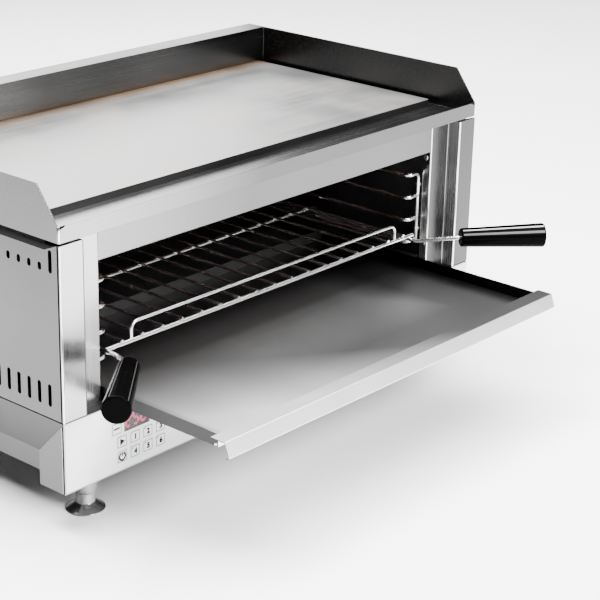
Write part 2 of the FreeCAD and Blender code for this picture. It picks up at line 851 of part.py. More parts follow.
def make_surround():
    """Splash guards on three sides, front rim and the deck of the gutter, with a hollow rear wall."""
    body = new_body("splash_surround")
    wall = "splash_sheet"
    pad(body, "XY_Plane", "surround_bottom", "splash_height",
        rectangle("-half_width", "half_width", "0", "body_depth"))
    cut(body, "XY_Plane", "deck_top", "surround_top - deck_top + 1",
        rectangle("-splash_inner", "splash_inner", wall, "splash_front"))
    nose = [("-1", "rim_top"), (wall, "rim_top"), ("splash_chamfer", "surround_top"),
            ("splash_chamfer", "surround_top + 1"), ("-1", "surround_top + 1")]
    cut(body, "YZ_Plane", "-half_width - 1", "body_width + 2", nose)
    cut(body, "XY_Plane", "surround_bottom - 1", "deck_bottom - surround_bottom + 1",
        rectangle("-splash_inner", "splash_inner", wall, "body_depth - " + wall))
    cut(body, "XY_Plane", "surround_bottom - 1", "splash_height + 1 - " + wall,
        rectangle("-splash_inner", "splash_inner", "splash_front + " + wall, "body_depth - " + wall))
    cut(body, "XY_Plane", "deck_bottom - 1", "2 * " + wall + " + 1",
        rectangle("-seat_half", "seat_half", "seat_front", "seat_rear"))
    half = size("half_width")
    round_edges(body, "rim_round", upright_at((-half, 0), (half, 0)))
    for side in SIDES.values():
        cut(body, "XZ_Plane", "-1", wall + " + 1.5", rim_notch(side))


def rim_notch(side):
    """Three-cornered relief notch at one end of the rim, where the side splash is folded off."""
    return [
        (side + " * splash_inner", "rim_top - notch_height"),
        (side + " * (splash_inner - notch_width)", "rim_top"),
        (side + " * splash_inner", "rim_top"),
    ]


def make_rim_seals():
    """Dark sealing compound that fills the relief notches at the ends of the rim."""
    body = new_body("rim_seals", several=True)
    for side in SIDES.values():
        pad(body, "XZ_Plane", "notch_setback", "splash_sheet - notch_setback", rim_notch(side))


def make_gasket():
    """Dark gasket frame between the casing and the deck, set back behind the shadow gap."""
    body = new_body("surround_gasket")
    outer = "(half_width - side_facet_inset - joint_gap)"
    front = "post_recess + fascia_flange - gasket_width - 2"
    rear = "body_depth - splash_sheet - 1"
    pad(body, "XY_Plane", "body_top", "deck_bottom - body_top",
        rectangle("-" + outer, outer, front, rear),
        rectangle("gasket_width - " + outer, outer + " - gasket_width",
                  front + " + gasket_width", rear + " - gasket_width"))
    for side in SIDES.values():
        pad(body, "XY_Plane", "side_top", "side_facet_drop",
            rectangle(side + " * " + outer, side + " * (" + outer + " - gasket_width)", front, rear))


def make_griddle_plate():
    body = new_body("griddle_plate")
    pad(body, "XY_Plane", "deck_top", "plate_thickness",
        rectangle("-plate_half", "plate_half", "plate_front", "plate_rear"))
    half = size("plate_half")
    round_edges(body, "plate_round", upright_at(
        (-half, size("plate_front")), (half, size("plate_front")),
        (-half, size("plate_rear")), (half, size("plate_rear"))))


def griddle_legs():
    """Places of the heater legs from front to back under the plate."""
    count = int(size("griddle_legs"))
    middle = (size("seat_front") + size("seat_rear")) / 2
    first = middle - (count - 1) / 2 * size("griddle_leg_pitch")
    return [first + i * size("griddle_leg_pitch") for i in range(count)]


def make_griddle_elements():
    """Two tubular heaters laid in loops under the plate, their ends turned down through the clamp."""
    level = size("deck_top") - size("griddle_tube") / 2
    bend = size("griddle_leg_pitch") / 2
    outer = size("seat_half") - size("griddle_tube_margin")
    inner = size("griddle_middle_gap") / 2
    low = size("clamp_top") - size("clamp_thickness") - size("griddle_terminal")
    for name, side in SIDES.items():
        sign = float(side)
        legs = griddle_legs()
        points = [at(sign * outer, legs[0], level)]
        for i, y in enumerate(legs):
            near, far = (outer, inner) if i % 2 == 0 else (inner, outer)
            if i > 0:
                points.append(at(sign * near, y, level))
            points.append(at(sign * far, y, level))
        rod = bent_rod(points, bend - 1e-3, size("griddle_tube"))
        ends = [points[0], points[-1]]
        for end in ends:
            drop = Part.makeCylinder(size("griddle_tube") / 2, level - low, at(end.x, end.y, low))
            knee = Part.makeSphere(size("griddle_tube") / 2, end)
            rod = rod.fuse([drop, knee])
        new_shape("griddle_element_" + name, rod)


def stud_places():
    legs = griddle_legs()
    rows = [(legs[0] + legs[1]) / 2, (legs[-2] + legs[-1]) / 2]
    return [(x, y) for x in ("-seat_half / 2", "0", "seat_half / 2") for y in rows]


def make_clamp_plate():
    """Steel plate that presses the heaters against the griddle, with holes for studs and ends."""
    body = new_body("element_clamp_plate")
    edge = "(seat_half - clamp_margin)"
    pad(body, "XY_Plane", "clamp_top - clamp_thickness", "clamp_thickness",
        rectangle("-" + edge, edge, "seat_front + clamp_margin", "seat_rear - clamp_margin"))
    middle = "(seat_front + seat_rear) / 2"
    row = "griddle_leg_pitch * (griddle_legs - 2) / 2"
    last = "griddle_leg_pitch * (griddle_legs - 1) / 2"
    holes = [(x, "%s %s %s" % (middle, way, row), "stud_diameter + 2 * hole_gap")
             for x in ("-seat_half / 2", "0", "seat_half / 2") for way in "-+"]
    outer = "(seat_half - griddle_tube_margin)"
    inner = "(griddle_middle_gap / 2)"
    for side in SIDES.values():
        holes.append((side + " * " + outer, middle + " - " + last, "griddle_tube + 2 * hole_gap"))
        end = outer if int(size("griddle_legs")) % 2 == 0 else inner
        holes.append((side + " * " + end, middle + " + " + last, "griddle_tube + 2 * hole_gap"))
    drill(body, "XY_Plane", "clamp_top - 2 * clamp_thickness", "3 * clamp_thickness", holes)


def make_clamp_studs():
    """Studs welded under the griddle plate, each with its nut below the clamp plate."""
    body = new_body("clamp_studs", several=True)
    middle = "(seat_front + seat_rear) / 2"
    row = "griddle_leg_pitch * (griddle_legs - 2) / 2"
    spots = [(x, "%s %s %s" % (middle, way, row))
             for x in ("-seat_half / 2", "0", "seat_half / 2") for way in "-+"]
    low = "(clamp_top - clamp_thickness - stud_nut_height)"
    pad_round(body, "XY_Plane", low, "deck_top - " + low, [(x, y, "stud_diameter") for x, y in spots])
    pad_round(body, "XY_Plane", low, "stud_nut_height", [(x, y, "stud_nut") for x, y in spots])


def make_probe():
    """Bulb of the temperature probe, held between the heaters against the plate."""
    middle = (size("seat_front") + size("seat_rear")) / 2
    radius = size("probe_diameter") / 2
    length = size("probe_length")
    start = at(0, middle - length / 2, size("deck_top") - radius)
    bulb = Part.makeCylinder(radius, length, start, at(0, 1, 0))
    new_shape("plate_probe", bulb)


def make_liner():
    """Grill cavity: sides, ceiling, floor and back in dark sheet, open at the front."""
    body = new_body("cavity_liner")
    outer = "(liner_half + liner_sheet)"
    pad(body, "XZ_Plane", "liner_front", "liner_back - liner_front",
        rectangle("-" + outer, outer, "sill - liner_sheet", "cavity_top + liner_sheet"))
    cut(body, "XZ_Plane", "liner_front - 1", "liner_back - liner_front + 1 - liner_sheet",
        rectangle("-liner_half", "liner_half", "sill", "cavity_top"))
    cut(body, "XY_Plane", "cavity_top - joint_gap", "2 * liner_sheet",
        rectangle("-" + outer, outer, "liner_front - 1",
                  "post_recess + post_flange - post_notch + joint_gap"))
    drill(body, "YZ_Plane", "liner_half - 1", "liner_sheet + 2",
          [(y, "grill_level", "grill_tube + 2 * hole_gap") for y in grill_leg_places()])
    for side in SIDES.values():
        low = side + " * (liner_half + liner_sheet / 2) - 1.5 * liner_sheet"
        drill(body, "YZ_Plane", low, "3 * liner_sheet",
              [("screw_setback", "sill + screw_low", "screw_shank + 2 * hole_gap"),
               ("screw_setback_high", "sill + screw_high", "screw_shank + 2 * hole_gap")])


def grill_leg_places():
    return ["grill_first + %d * grill_pitch %s grill_bend" % (i, way) for i in range(3) for way in "-+"]


def make_grill_elements():
    """Three hairpin heaters under the ceiling, their ends out through the right wall."""
    level = size("grill_level")
    outer = size("liner_half") + size("liner_sheet") + size("grill_terminal")
    bend = size("grill_bend")
    tip = size("grill_reach") + bend - size("liner_half")
    for i, name in enumerate(("front", "middle", "rear")):
        middle = size("grill_first") + i * size("grill_pitch")
        begin = at(outer, middle - bend, level)
        end = at(outer, middle + bend, level)
        turn = [Part.LineSegment(begin, at(tip, middle - bend, level)).toShape(),
                Part.Arc(at(tip, middle - bend, level), at(tip - bend, middle, level),
                         at(tip, middle + bend, level)).toShape(),
                Part.LineSegment(at(tip, middle + bend, level), end).toShape()]
        section = Part.Wire(Part.makeCircle(size("grill_tube") / 2, begin, at(-1, 0, 0)))
        new_shape("grill_element_" + name, Part.Wire(turn).makePipeShell([section], True, False))


def make_hangers():
    """Sheet hangers from the ceiling, two for each hairpin, with a hole for each leg."""
    body = new_body("element_hangers", several=True)
    half = "(grill_bend + grill_tube / 2 + hanger_margin)"
    low = "grill_level - grill_tube / 2 - hanger_margin"
    for x in ("-hanger_spread", "hanger_spread"):
        start = x + " - hanger_thickness / 2"
        plates = []
        holes = []
        for i in range(3):
            middle = "(grill_first + %d * grill_pitch)" % i
            plates.append(rectangle(middle + " - " + half, middle + " + " + half, low, "cavity_top"))
            for way in "-+":
                holes.append((middle + way + "grill_bend", "grill_level", "grill_tube + 2 * hole_gap"))
        pad(body, "YZ_Plane", start, "hanger_thickness", *plates)
        drill(body, "YZ_Plane", start + " - 1", "hanger_thickness + 2", holes)


def make_insulation():
    body = new_body("cavity_insulation")
    edge = "(liner_half - insulation_margin)"
    pad(body, "XY_Plane", "cavity_top + liner_sheet", "insulation_thickness",
        rectangle("-" + edge, edge, "post_recess + fascia_flange + insulation_margin",
                  "liner_back - insulation_margin"))


def make_ladder(name, side):
    """Rack carrier in bent wire: four U-shaped rungs on two uprights, with pegs to the cavity wall."""
    sign = float(side)
    x_wall = sign * size("ladder_x")
    x_run = sign * size("rung_x")
    front = size("ladder_front")
    rear = size("ladder_rear")
    count = int(size("rung_count"))
    heights = [size("rung_low") + i * size("rung_pitch") for i in range(count)]
    top = heights[-1]
    bend = size("ladder_bend")
    wire = size("wire")
    loop = [at(x_wall, front, heights[0] - wire), at(x_wall, front, top), at(x_run, front, top),
            at(x_run, rear, top), at(x_wall, rear, top), at(x_wall, rear, heights[0] - wire)]
    shape = bent_rod(loop, bend, wire)
    rungs = []
    for height in heights[:-1]:
        run = [at(x_wall, front, height), at(x_run, front, height),
               at(x_run, rear, height), at(x_wall, rear, height)]
        rungs.append(bent_rod(run, bend, wire))
    wall_gap = size("ladder_wall_gap")
    for y in (front, rear):
        for z in (heights[0] + size("rung_pitch") / 2, top - size("rung_pitch") / 2):
            rungs.append(Part.makeCylinder(size("peg_diameter") / 2, wall_gap, at(x_wall, y, z), at(sign, 0, 0)))
    new_shape("rack_ladder_" + name, shape.fuse(rungs))


def make_liner_screws():
    """Screws that hold the cavity to the front posts, heads to the inside."""
    solids = []
    head = size("screw_head") / 2
    for side in SIDES.values():
        sign = float(side)
        outward = at(sign, 0, 0)
        low = (size("open_half"), size("screw_setback"), size("screw_low"))
        high = (size("liner_half"), size("screw_setback_high"), size("screw_high"))
        for seat, setback, rise in (low, high):
            spot = at(sign * seat, setback, size("sill") + rise)
            shank = Part.makeCylinder(size("screw_shank") / 2, size("screw_length"), spot, outward)
            cap = Part.makeCylinder(head, size("screw_head_height"), spot, outward * -1)
            rim = [e for e in cap.Edges if abs(abs(e.CenterOfMass.x) - seat + size("screw_head_height")) < 1e-6]
            solids.append(cap.makeFillet(size("screw_head_height") * 0.6, rim).fuse(shank))
    new_shape("liner_screws", Part.makeCompound(solids))


def make_rack_rods():
    """Side rods of the rack, bent outwards at the front into the stems of the grips."""
    level = size("rod_level")
    insert = size("stem_insert")
    heading = grip_heading()
    rear = size("rack_front") + size("rack_depth") - size("wire")
    for name, side in SIDES.items():
        sign = float(side)
        start = grip_start(sign)
        axis = at(sign * heading.x, heading.y, 0)
        points = [at(sign * size("rung_x"), rear, level),
                  at(sign * size("rung_x"), size("stem_bend_at"), level),
                  start - axis * size("stem_straight"),
                  start + axis * insert]
        new_shape("rack_rod_" + name, bent_rod(points, size("stem_turn"), size("wire")))


def grip_heading():
    """Direction of the right grip in plan, from its stem to its outer end."""
    angle = math.radians(size("grip_angle"))
    return at(math.sin(angle), -math.cos(angle), 0)


def grip_start(sign):
    return at(sign * size("grip_inner_x"), -size("grip_inner_y"), size("rod_level") + size("grip_rise"))


def make_grip(name, side):
    """Tapered grip, bored for its stem and slightly thicker at the free end."""
    body = new_body("rack_grip_" + name)
    bore = "wire / 2 + joint_gap / 2"
    corners = [
        (bore, "0"),
        ("grip_start_radius", "0"),
        ("grip_end_radius", "grip_length"),
        ("0", "grip_length"),
        ("0", "stem_insert + joint_gap"),
        (bore, "stem_insert + joint_gap"),
    ]
    revolve(body, corners)
    round_edges(body, "grip_edge", circle_at(
        (size("grip_start_radius"), 0), (size("grip_end_radius"), size("grip_length"))))
    sign = float(side)
    heading = grip_heading()
    body.Placement = FreeCAD.Placement(at(0, 0, 0), FreeCAD.Rotation(at(0, 0, 1), at(sign * heading.x, heading.y, 0)))
    place(body, side + " * grip_inner_x", "-1 * grip_inner_y", "rod_level + grip_rise")


def revolve(body, corners):
    """A turned piece: the outline gives radius and height."""
    sketch = sketch_on(body, "XZ_Plane", "0")
    add_outline(sketch, corners)
    turned = body.newObject("PartDesign::Revolution", body.Label + "_turned")
    turned.Profile = sketch
    turned.ReferenceAxis = (sketch, ["V_Axis"])
    turned.Angle = 360
    return turned


def make_cross_wires():
    """Front, middle and rear wires across the rack."""
    body = new_body("rack_cross_wires", several=True)
    spots = [("rack_front", "cross_level", "wire"),
             ("rack_front + rack_depth / 2", "cross_level", "wire"),
             ("rack_front + rack_depth - wire", "cross_level", "wire")]
    pad_round(body, "YZ_Plane", "-rack_width / 2", "rack_width", spots)


def make_rack_bars():
    body = new_body("rack_bars", several=True)
    first = pad_round(body, "XZ_Plane", "rack_front - bar_overhang", "rack_depth + bar_overhang - wire / 2",
                      [("-rack_bar_pitch * (rack_bar_count - 1) / 2", "bar_level", "rack_bar")])
    repeat(body, first, "rack_bar_pitch", "rack_bar_count")


def make_guard_wire():
    """Raised wire along the front of the rack that keeps food from sliding off."""
    half = size("guard_width") / 2
    y = size("rack_front")
    foot = size("guard_foot")
    top = size("guard_level")
    points = [at(-half, y, foot), at(-half, y, top), at(half, y, top), at(half, y, foot)]
    new_shape("rack_guard_wire", bent_rod(points, size("guard_bend"), size("guard_wire")))


def make_tray():
    """Drip tray in folded sheet with a wide front lip that slopes down to a safety hem."""
    body = new_body("crumb_tray")
    back = "tray_sheet"
    pad(body, "XY_Plane", "tray_bottom", "tray_sheet",
        rectangle("-tray_half", "tray_half", "tray_front - tray_sheet", "tray_rear"))
    for side in SIDES.values():
        pad(body, "YZ_Plane", side + " * (tray_half - tray_sheet / 2) - tray_sheet / 2", "tray_sheet",
            rectangle("tray_front - tray_sheet", "tray_rear", "tray_bottom", "tray_top"))
    pad(body, "XZ_Plane", "tray_rear - tray_sheet", "tray_sheet",
        rectangle("-tray_half", "tray_half", "tray_bottom", "tray_top"))
    pad(body, "XZ_Plane", "tray_front - tray_sheet", "tray_sheet",
        rectangle("-tray_half", "tray_half", "tray_bottom", "tray_top"))
    lip = [
        ("tray_front", "tray_top - " + back),
        ("tray_front", "tray_top"),
        ("lip_fold", "tray_top"),
        ("lip_tip", "tray_top - lip_drop"),
        ("lip_tip + lip_hem", "tray_top - lip_drop - 0.3 * lip_hem"),
        ("lip_tip + lip_hem", "tray_top - lip_drop - 0.3 * lip_hem + " + back),
        ("lip_tip + 1.25 * " + back, "tray_top - lip_drop + 0.7 * " + back),
        ("lip_fold + 0.7 * " + back, "tray_top - " + back),
    ]
    pad(body, "YZ_Plane", "-lip_half", "2 * lip_half", lip)
    for side in SIDES.values():
        middle = side + " * (tray_half - relief_length / 2)"
        cut(body, "XY_Plane", "tray_bottom - 1", "2 * tray_sheet + 2",
            rectangle(middle + " - relief_length / 2 - 1", middle + " + relief_length / 2 + 1",
                      "tray_front", "tray_front + relief_width"))
    round_edges(body, "edge_round", lengthwise_at(
        (size("lip_fold"), size("tray_top")), (size("lip_tip"), size("tray_top") - size("lip_drop"))))


def make_tray_guide(name, side):
    """C-shaped guide on the cavity wall: the tray slides on its lower leg and is held down by the upper."""
    body = new_body("tray_guide_" + name)
    web = side + " * (tray_half + 2 * guide_gap + guide_sheet)"
    leg = side + " * (tray_half + 2 * guide_gap + guide_sheet - guide_leg)"
    upper = side + " * (tray_half + 2 * guide_gap + guide_sheet - guide_leg / 2)"
    inner = side + " * (tray_half + 2 * guide_gap)"
    corners = [
        (leg, "sill"),
        (web, "sill"),
        (web, "guide_top + guide_sheet"),
        (upper, "guide_top + guide_sheet"),
        (upper, "guide_top"),
        (inner, "guide_top"),
        (inner, "sill + guide_sheet"),
        (leg, "sill + guide_sheet"),
    ]
    pad(body, "XZ_Plane", "post_recess + post_flange + 1", "liner_depth - post_flange - 4", corners)


def make_foot(label, side, y):
    """Waisted levelling foot with its threaded stud."""
    body = new_body(label)
    neck = "foot_height - foot_gap - foot_collar"
    corners = [
        ("0", "0"),
        ("foot_base_radius", "0"),
        ("foot_base_radius", "foot_base_edge"),
        ("foot_waist_radius", "foot_waist_low"),
        ("foot_waist_radius", "foot_waist_high"),
        ("foot_top_radius", neck),
        ("foot_top_radius", "foot_height - foot_gap"),
        ("foot_stud / 2", "foot_height - foot_gap"),
        ("foot_stud / 2", "foot_height + foot_stud_length"),
        ("0", "foot_height + foot_stud_length"),
    ]
    revolve(body, corners)
    round_edges(body, "foot_base_blend", circle_at((size("foot_waist_radius"), size("foot_waist_low"))))
    round_edges(body, "foot_neck_blend", circle_at((size("foot_waist_radius"), size("foot_waist_high"))))
    round_edges(body, "edge_round", circle_at(
        (size("foot_base_radius"), size("foot_base_edge")),
        (size("foot_top_radius"), size("foot_height") - size("foot_gap"))))
    place(body, side + " * foot_x", y)


def make_foot_nuts():
    """Hexagon nuts on the bottom plate that the foot studs turn in."""
    body = new_body("foot_nuts", several=True)
    for side in SIDES.values():
        for y in ("foot_front", "foot_rear"):
            x = side + " * foot_x"
            corners = []
            for i in range(6):
                turn = "%.1f" % (60 * i + 30)
                corners.append((x + " + foot_nut / 1.7320508 * cos(%s deg)" % turn,
                                y + " + foot_nut / 1.7320508 * sin(%s deg)" % turn))
            pad(body, "XY_Plane", "pan_floor", "foot_nut_height", corners)
    drill(body, "XY_Plane", "pan_floor - 1", "foot_nut_height + 2",
          [(side + " * foot_x", y, "foot_stud + 2 * hole_gap")
           for side in SIDES.values() for y in ("foot_front", "foot_rear")])


def make_gland():
    """Cord gland in the rear wall: hexagon and dome outside, lock nut inside, bored through."""
    body = new_body("cable_gland")
    x = "-gland_x"
    z = "foot_height + gland_rise"
    hexagon = []
    for i in range(6):
        turn = "%.1f" % (60 * i)
        hexagon.append((x + " + gland_hex / 1.7320508 * cos(%s deg)" % turn,
                        z + " + gland_hex / 1.7320508 * sin(%s deg)" % turn))
    pad(body, "XZ_Plane", "body_depth", "gland_hex_length", hexagon)
    pad_round(body, "XZ_Plane", "body_depth + gland_hex_length - 1", "gland_dome_length + 1",
              [(x, z, "gland_dome")])
    pad_round(body, "XZ_Plane", "body_depth - gland_inside", "gland_inside + 1", [(x, z, "gland_thread")])
    pad(body, "XZ_Plane", "body_depth - sheet - gland_hex_length / 2", "gland_hex_length / 2", hexagon)
    drill(body, "XZ_Plane", "body_depth - gland_inside - 1",
          "gland_inside + gland_hex_length + gland_dome_length + 2", [(x, z, "gland_bore")])
    def mouth(edge):
        ends = [v.Point for v in edge.Vertexes]
        far = size("body_depth") + size("gland_hex_length") + size("gland_dome_length")
        outside = abs(edge.CenterOfMass.y - far) < 1e-4
        return outside and abs(edge.Length - math.pi * size("gland_dome")) < 1e-3 and len(ends) > 0
    round_edges(body, "edge_round * 3", mouth)


def make_power_relay():
    """Relay on the pan floor under a finned heat sink."""
    body = new_body("power_relay")
    low_x = "relay_x - relay_length / 2"
    low_y = "relay_y - relay_width / 2"
    pad(body, "XY_Plane", "pan_floor", "relay_height",
        rectangle(low_x, "relay_x + relay_length / 2", low_y, "relay_y + relay_width / 2"))
    first = "(relay_x - relay_fin_pitch * (relay_fin_count - 1) / 2)"
    fin = pad(body, "XY_Plane", "pan_floor + relay_height - 1", "relay_fin_height + 1",
              rectangle(first + " - relay_fin / 2", first + " + relay_fin / 2",
                        low_y, "relay_y + relay_width / 2"))
    repeat(body, fin, "relay_fin_pitch", "relay_fin_count")


def make_terminal_block():
    """Row of stepped terminals beside the cord gland."""
    body = new_body("terminal_block")
    first = "(-terminal_x - terminal_pitch * (terminal_count - 1) / 2)"
    low_y = "terminal_y - terminal_depth / 2"
    high_y = "terminal_y + terminal_depth / 2"
    length = "terminal_pitch * terminal_count / 2"
    pad(body, "XY_Plane", "pan_floor", "terminal_step",
        rectangle("-terminal_x - " + length, "-terminal_x + " + length, low_y, high_y))
    tower = pad(body, "XY_Plane", "pan_floor + terminal_step - 1", "terminal_height - terminal_step + 1",
                rectangle(first + " - terminal_width / 2", first + " + terminal_width / 2",
                          "terminal_y - terminal_depth / 4", "terminal_y + terminal_depth / 4"))
    repeat(body, tower, "terminal_pitch", "terminal_count")


def make_thermostat():
    """Safety thermostat: round body with its reset stem."""
    body = new_body("safety_thermostat")
    spot = ("thermostat_x", "thermostat_y")
    pad_round(body, "XY_Plane", "pan_floor", "thermostat_height", [spot + ("thermostat_diameter",)])
    pad_round(body, "XY_Plane", "pan_floor + thermostat_height - 1", "thermostat_stem_height + 1",
              [spot + ("thermostat_stem",)])


def make_all():
    for name, side in SIDES.items():
        make_front_post(name, side)
        make_side_panel(name, side)
        make_ladder(name, side)
        make_tray_guide(name, side)
        make_grip(name, side)
        make_foot("foot_front_" + name, side, "foot_front")
        make_foot("foot_rear_" + name, side, "foot_rear")
    make_fascia()
    make_back_panel()
    make_back_screws()
    make_base_pan()
    make_control_box()
    make_control_panel()
    make_display()
    make_control_board()
    for label, (x, z) in KEYS.items():
        make_key(label, x, z)
    make_surround()
    make_rim_seals()
    make_gasket()
    make_griddle_plate()
    make_griddle_elements()
    make_clamp_plate()
    make_clamp_studs()
    make_probe()
    make_liner()
    make_grill_elements()
    make_hangers()
    make_insulation()
    make_liner_screws()
    make_rack_rods()
    make_cross_wires()
    make_rack_bars()
    make_guard_wire()
    make_tray()
    make_foot_nuts()
    make_gland()
    make_power_relay()
    make_terminal_block()
    make_thermostat()


def check_all():
    """Stops on any failed object, empty or invalid shape, and on a pocket that cut nothing."""
    for thing in doc.Objects:
        if "Invalid" in thing.State or "Error" in thing.State:
            raise RuntimeError("%s failed: %s" % (thing.Label, thing.State))
        if thing.TypeId == "PartDesign::Pocket":
            before = thing.BaseFeature.Shape.Volume
            if thing.Shape.Volume > before - 1e-3:
                raise RuntimeError("%s cut nothing" % thing.Name)
    for part in parts:
        if part.Shape.isNull() or not part.Shape.isValid() or not part.Shape.Solids:
            raise RuntimeError("%s has no valid shape" % part.Label)


def write_all():
    os.makedirs("parts", exist_ok=True)
    for part in parts:
        part.Shape.exportStep("parts/%s.step" % part.Label)


fill_sheets()
make_all()
doc.recompute()
check_all()
write_all()
print("%d sub-parts, %d solids" % (len(parts), sum(len(p.Shape.Solids) for p in parts)))
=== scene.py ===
"""Looks of the griddle salamander: finishes, printed legends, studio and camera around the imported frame."""

import logging
import math
from dataclasses import dataclass, field
from enum import Enum
from typing import Union

import bmesh
import bpy
from mathutils import Matrix, Vector


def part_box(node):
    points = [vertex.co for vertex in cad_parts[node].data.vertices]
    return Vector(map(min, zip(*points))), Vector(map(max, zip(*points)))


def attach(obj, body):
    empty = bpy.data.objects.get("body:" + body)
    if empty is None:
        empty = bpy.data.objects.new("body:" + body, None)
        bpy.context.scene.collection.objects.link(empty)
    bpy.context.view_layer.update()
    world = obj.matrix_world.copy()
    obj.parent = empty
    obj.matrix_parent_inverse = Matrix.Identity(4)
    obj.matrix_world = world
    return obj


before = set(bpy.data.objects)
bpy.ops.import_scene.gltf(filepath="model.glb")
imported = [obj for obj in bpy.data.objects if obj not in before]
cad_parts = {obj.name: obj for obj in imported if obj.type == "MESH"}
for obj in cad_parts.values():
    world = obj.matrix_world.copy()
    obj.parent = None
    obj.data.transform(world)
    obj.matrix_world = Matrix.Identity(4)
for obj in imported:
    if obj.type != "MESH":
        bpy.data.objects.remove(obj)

log = logging.getLogger("griddle_salamander")

Colour = tuple[float, float, float]
Place = tuple[float, float, float]
Point = tuple[float, float]
Socket = bpy.types.NodeSocket
Value = Union[bpy.types.NodeSocket, float]
Tint = Union[bpy.types.NodeSocket, Colour]


class Grain(Enum):
    """Direction in which a sheet was brushed, as the stretch of its grain along X, Y and Z."""

    ALONG_X = (2.5, 900.0, 900.0)
    ALONG_Y = (900.0, 2.5, 900.0)
    ALONG_Z = (900.0, 900.0, 2.5)
    NONE = (350.0, 350.0, 350.0)


class Mark(Enum):
    """What is printed on a key."""

    MINUS = "minus"
    PLUS = "plus"
    START = "start"
    POWER = "power"
    DIGIT = "digit"


class Graph:
    """The node tree of one finish, with short calls for the nodes that finishes use."""

    def __init__(self, name: str) -> None:
        """Starts a material with one shader.

        Args:
            name: the finish's name.
        """
        self.material = bpy.data.materials.new(name)
        self.material.use_nodes = True
        self.tree = self.material.node_tree
        self.shader = self.tree.nodes["Principled BSDF"]

    def node(self, kind: str, **settings: object) -> bpy.types.Node:
        """Adds a node and sets its properties.

        Args:
            kind: the node's type without its prefix.
            settings: properties by name.

        Returns:
            The new node.
        """
        made = self.tree.nodes.new("ShaderNode" + kind)
        for key, value in settings.items():
            setattr(made, key, value)
        return made

    def link(self, source: Socket, target: Socket) -> None:
        """Joins an output to an input.

        Args:
            source: the output.
            target: the input.
        """
        self.tree.links.new(source, target)

    def feed(self, name: str, source: Socket) -> None:
        """Joins an output to one of the shader's own inputs.

        Args:
            name: the shader's input.
            source: the output.
        """
        self.link(source, self.shader.inputs[name])

    def fix(self, **values: object) -> None:
        """Sets numbers and colours on the shader's own inputs.

        Args:
            values: what to set, by the input's name with underscores for its spaces.
        """
        for key, value in values.items():
            self.shader.inputs[key.replace("_", " ")].default_value = value

    def place(self, stretch: Place = (1.0, 1.0, 1.0), turn: Place = (0.0, 0.0, 0.0)) -> Socket:
        """The piece's own coordinates in metres, turned and stretched.

        Args:
            stretch: factor along each axis.
            turn: rotation about each axis, in radians.

        Returns:
            The vector output.
        """
        mapping = self.node("Mapping")
        mapping.inputs["Scale"].default_value = stretch
        mapping.inputs["Rotation"].default_value = turn
        self.link(self.node("TexCoord").outputs["Object"], mapping.inputs["Vector"])
        return mapping.outputs["Vector"]

    def noise(self, where: Socket, scale: float, detail: float = 3.0) -> Socket:
        """Cloudy values between 0 and 1.

        Args:
            where: the coordinates.
            scale: features per unit.
            detail: how many finer layers are added.

        Returns:
            The value output.
        """
        made = self.node("TexNoise")
        made.inputs["Scale"].default_value = scale
        made.inputs["Detail"].default_value = detail
        self.link(where, made.inputs["Vector"])
        return made.outputs["Fac"]

    def span(self, value: Socket, source: Point, target: Point) -> Socket:
        """Moves values from one span to another, held at its ends.

        Args:
            value: the input.
            source: the span that it comes in.
            target: the span that it leaves in.

        Returns:
            The value output.
        """
        made = self.node("MapRange")
        for key, number in zip(("From Min", "From Max", "To Min", "To Max"), source + target):
            made.inputs[key].default_value = number
        self.link(value, made.inputs["Value"])
        return made.outputs["Result"]

    def math(self, kind: str, first: Value, second: Value) -> Socket:
        """Joins two values by arithmetic.

        Args:
            kind: the operation.
            first: a socket or number.
            second: a socket or number.

        Returns:
            The value output.
        """
        made = self.node("Math", operation=kind)
        for slot, value in zip(made.inputs, (first, second)):
            if isinstance(value, (int, float)):
                slot.default_value = value
            else:
                self.link(value, slot)
        return made.outputs["Value"]

    def blend(self, share: Socket, first: Tint, second: Tint, kind: str = "MIX") -> Socket:
        """Mixes two colours.

        Args:
            share: how much of the second shows.
            first: a socket or colour.
            second: a socket or colour.
            kind: the way they mix.

        Returns:
            The colour output.
        """
        made = self.node("Mix", data_type="RGBA", blend_type=kind)
        self.link(share, made.inputs[0])
        for slot, value in zip((made.inputs[6], made.inputs[7]), (first, second)):
            if isinstance(value, tuple):
                slot.default_value = (*value, 1.0)
            else:
                self.link(value, slot)
        return made.outputs[2]

    def relief(self, height: Socket, depth: float) -> None:
        """Raises the surface by a texture.

        Args:
            height: values between 0 and 1.
            depth: their height in metres.
        """
        made = self.node("Bump")
        made.inputs["Strength"].default_value = 1.0
        made.inputs["Distance"].default_value = depth
        self.link(height, made.inputs["Height"])
        self.link(made.outputs["Normal"], self.shader.inputs["Normal"])

    def axis(self, name: str, source: str = "Object") -> Socket:
        """One component of the piece's own coordinates or of its surface direction.

        Args:
            name: X, Y or Z.
            source: the coordinate output to take it from.

        Returns:
            The value output.
        """
        made = self.node("SeparateXYZ")
        self.link(self.node("TexCoord").outputs[source], made.inputs["Vector"])
        return made.outputs[name]

    def facing(self, name: str) -> Socket:
        """How far the surface looks along an axis, to either side.

        Args:
            name: X, Y or Z.

        Returns:
            The value output, 1 where it looks straight along the axis.
        """
        return self.math("ABSOLUTE", self.axis(name, "Normal"), 0.0)


def shade(colour: Colour, factor: float) -> Colour:
    """The same colour, lighter or darker.

    Args:
        colour: the colour to start from.
        factor: what each of its parts is multiplied by.

    Returns:
        The new colour, held at full white.
    """
    return tuple(min(1.0, c * factor) for c in colour)


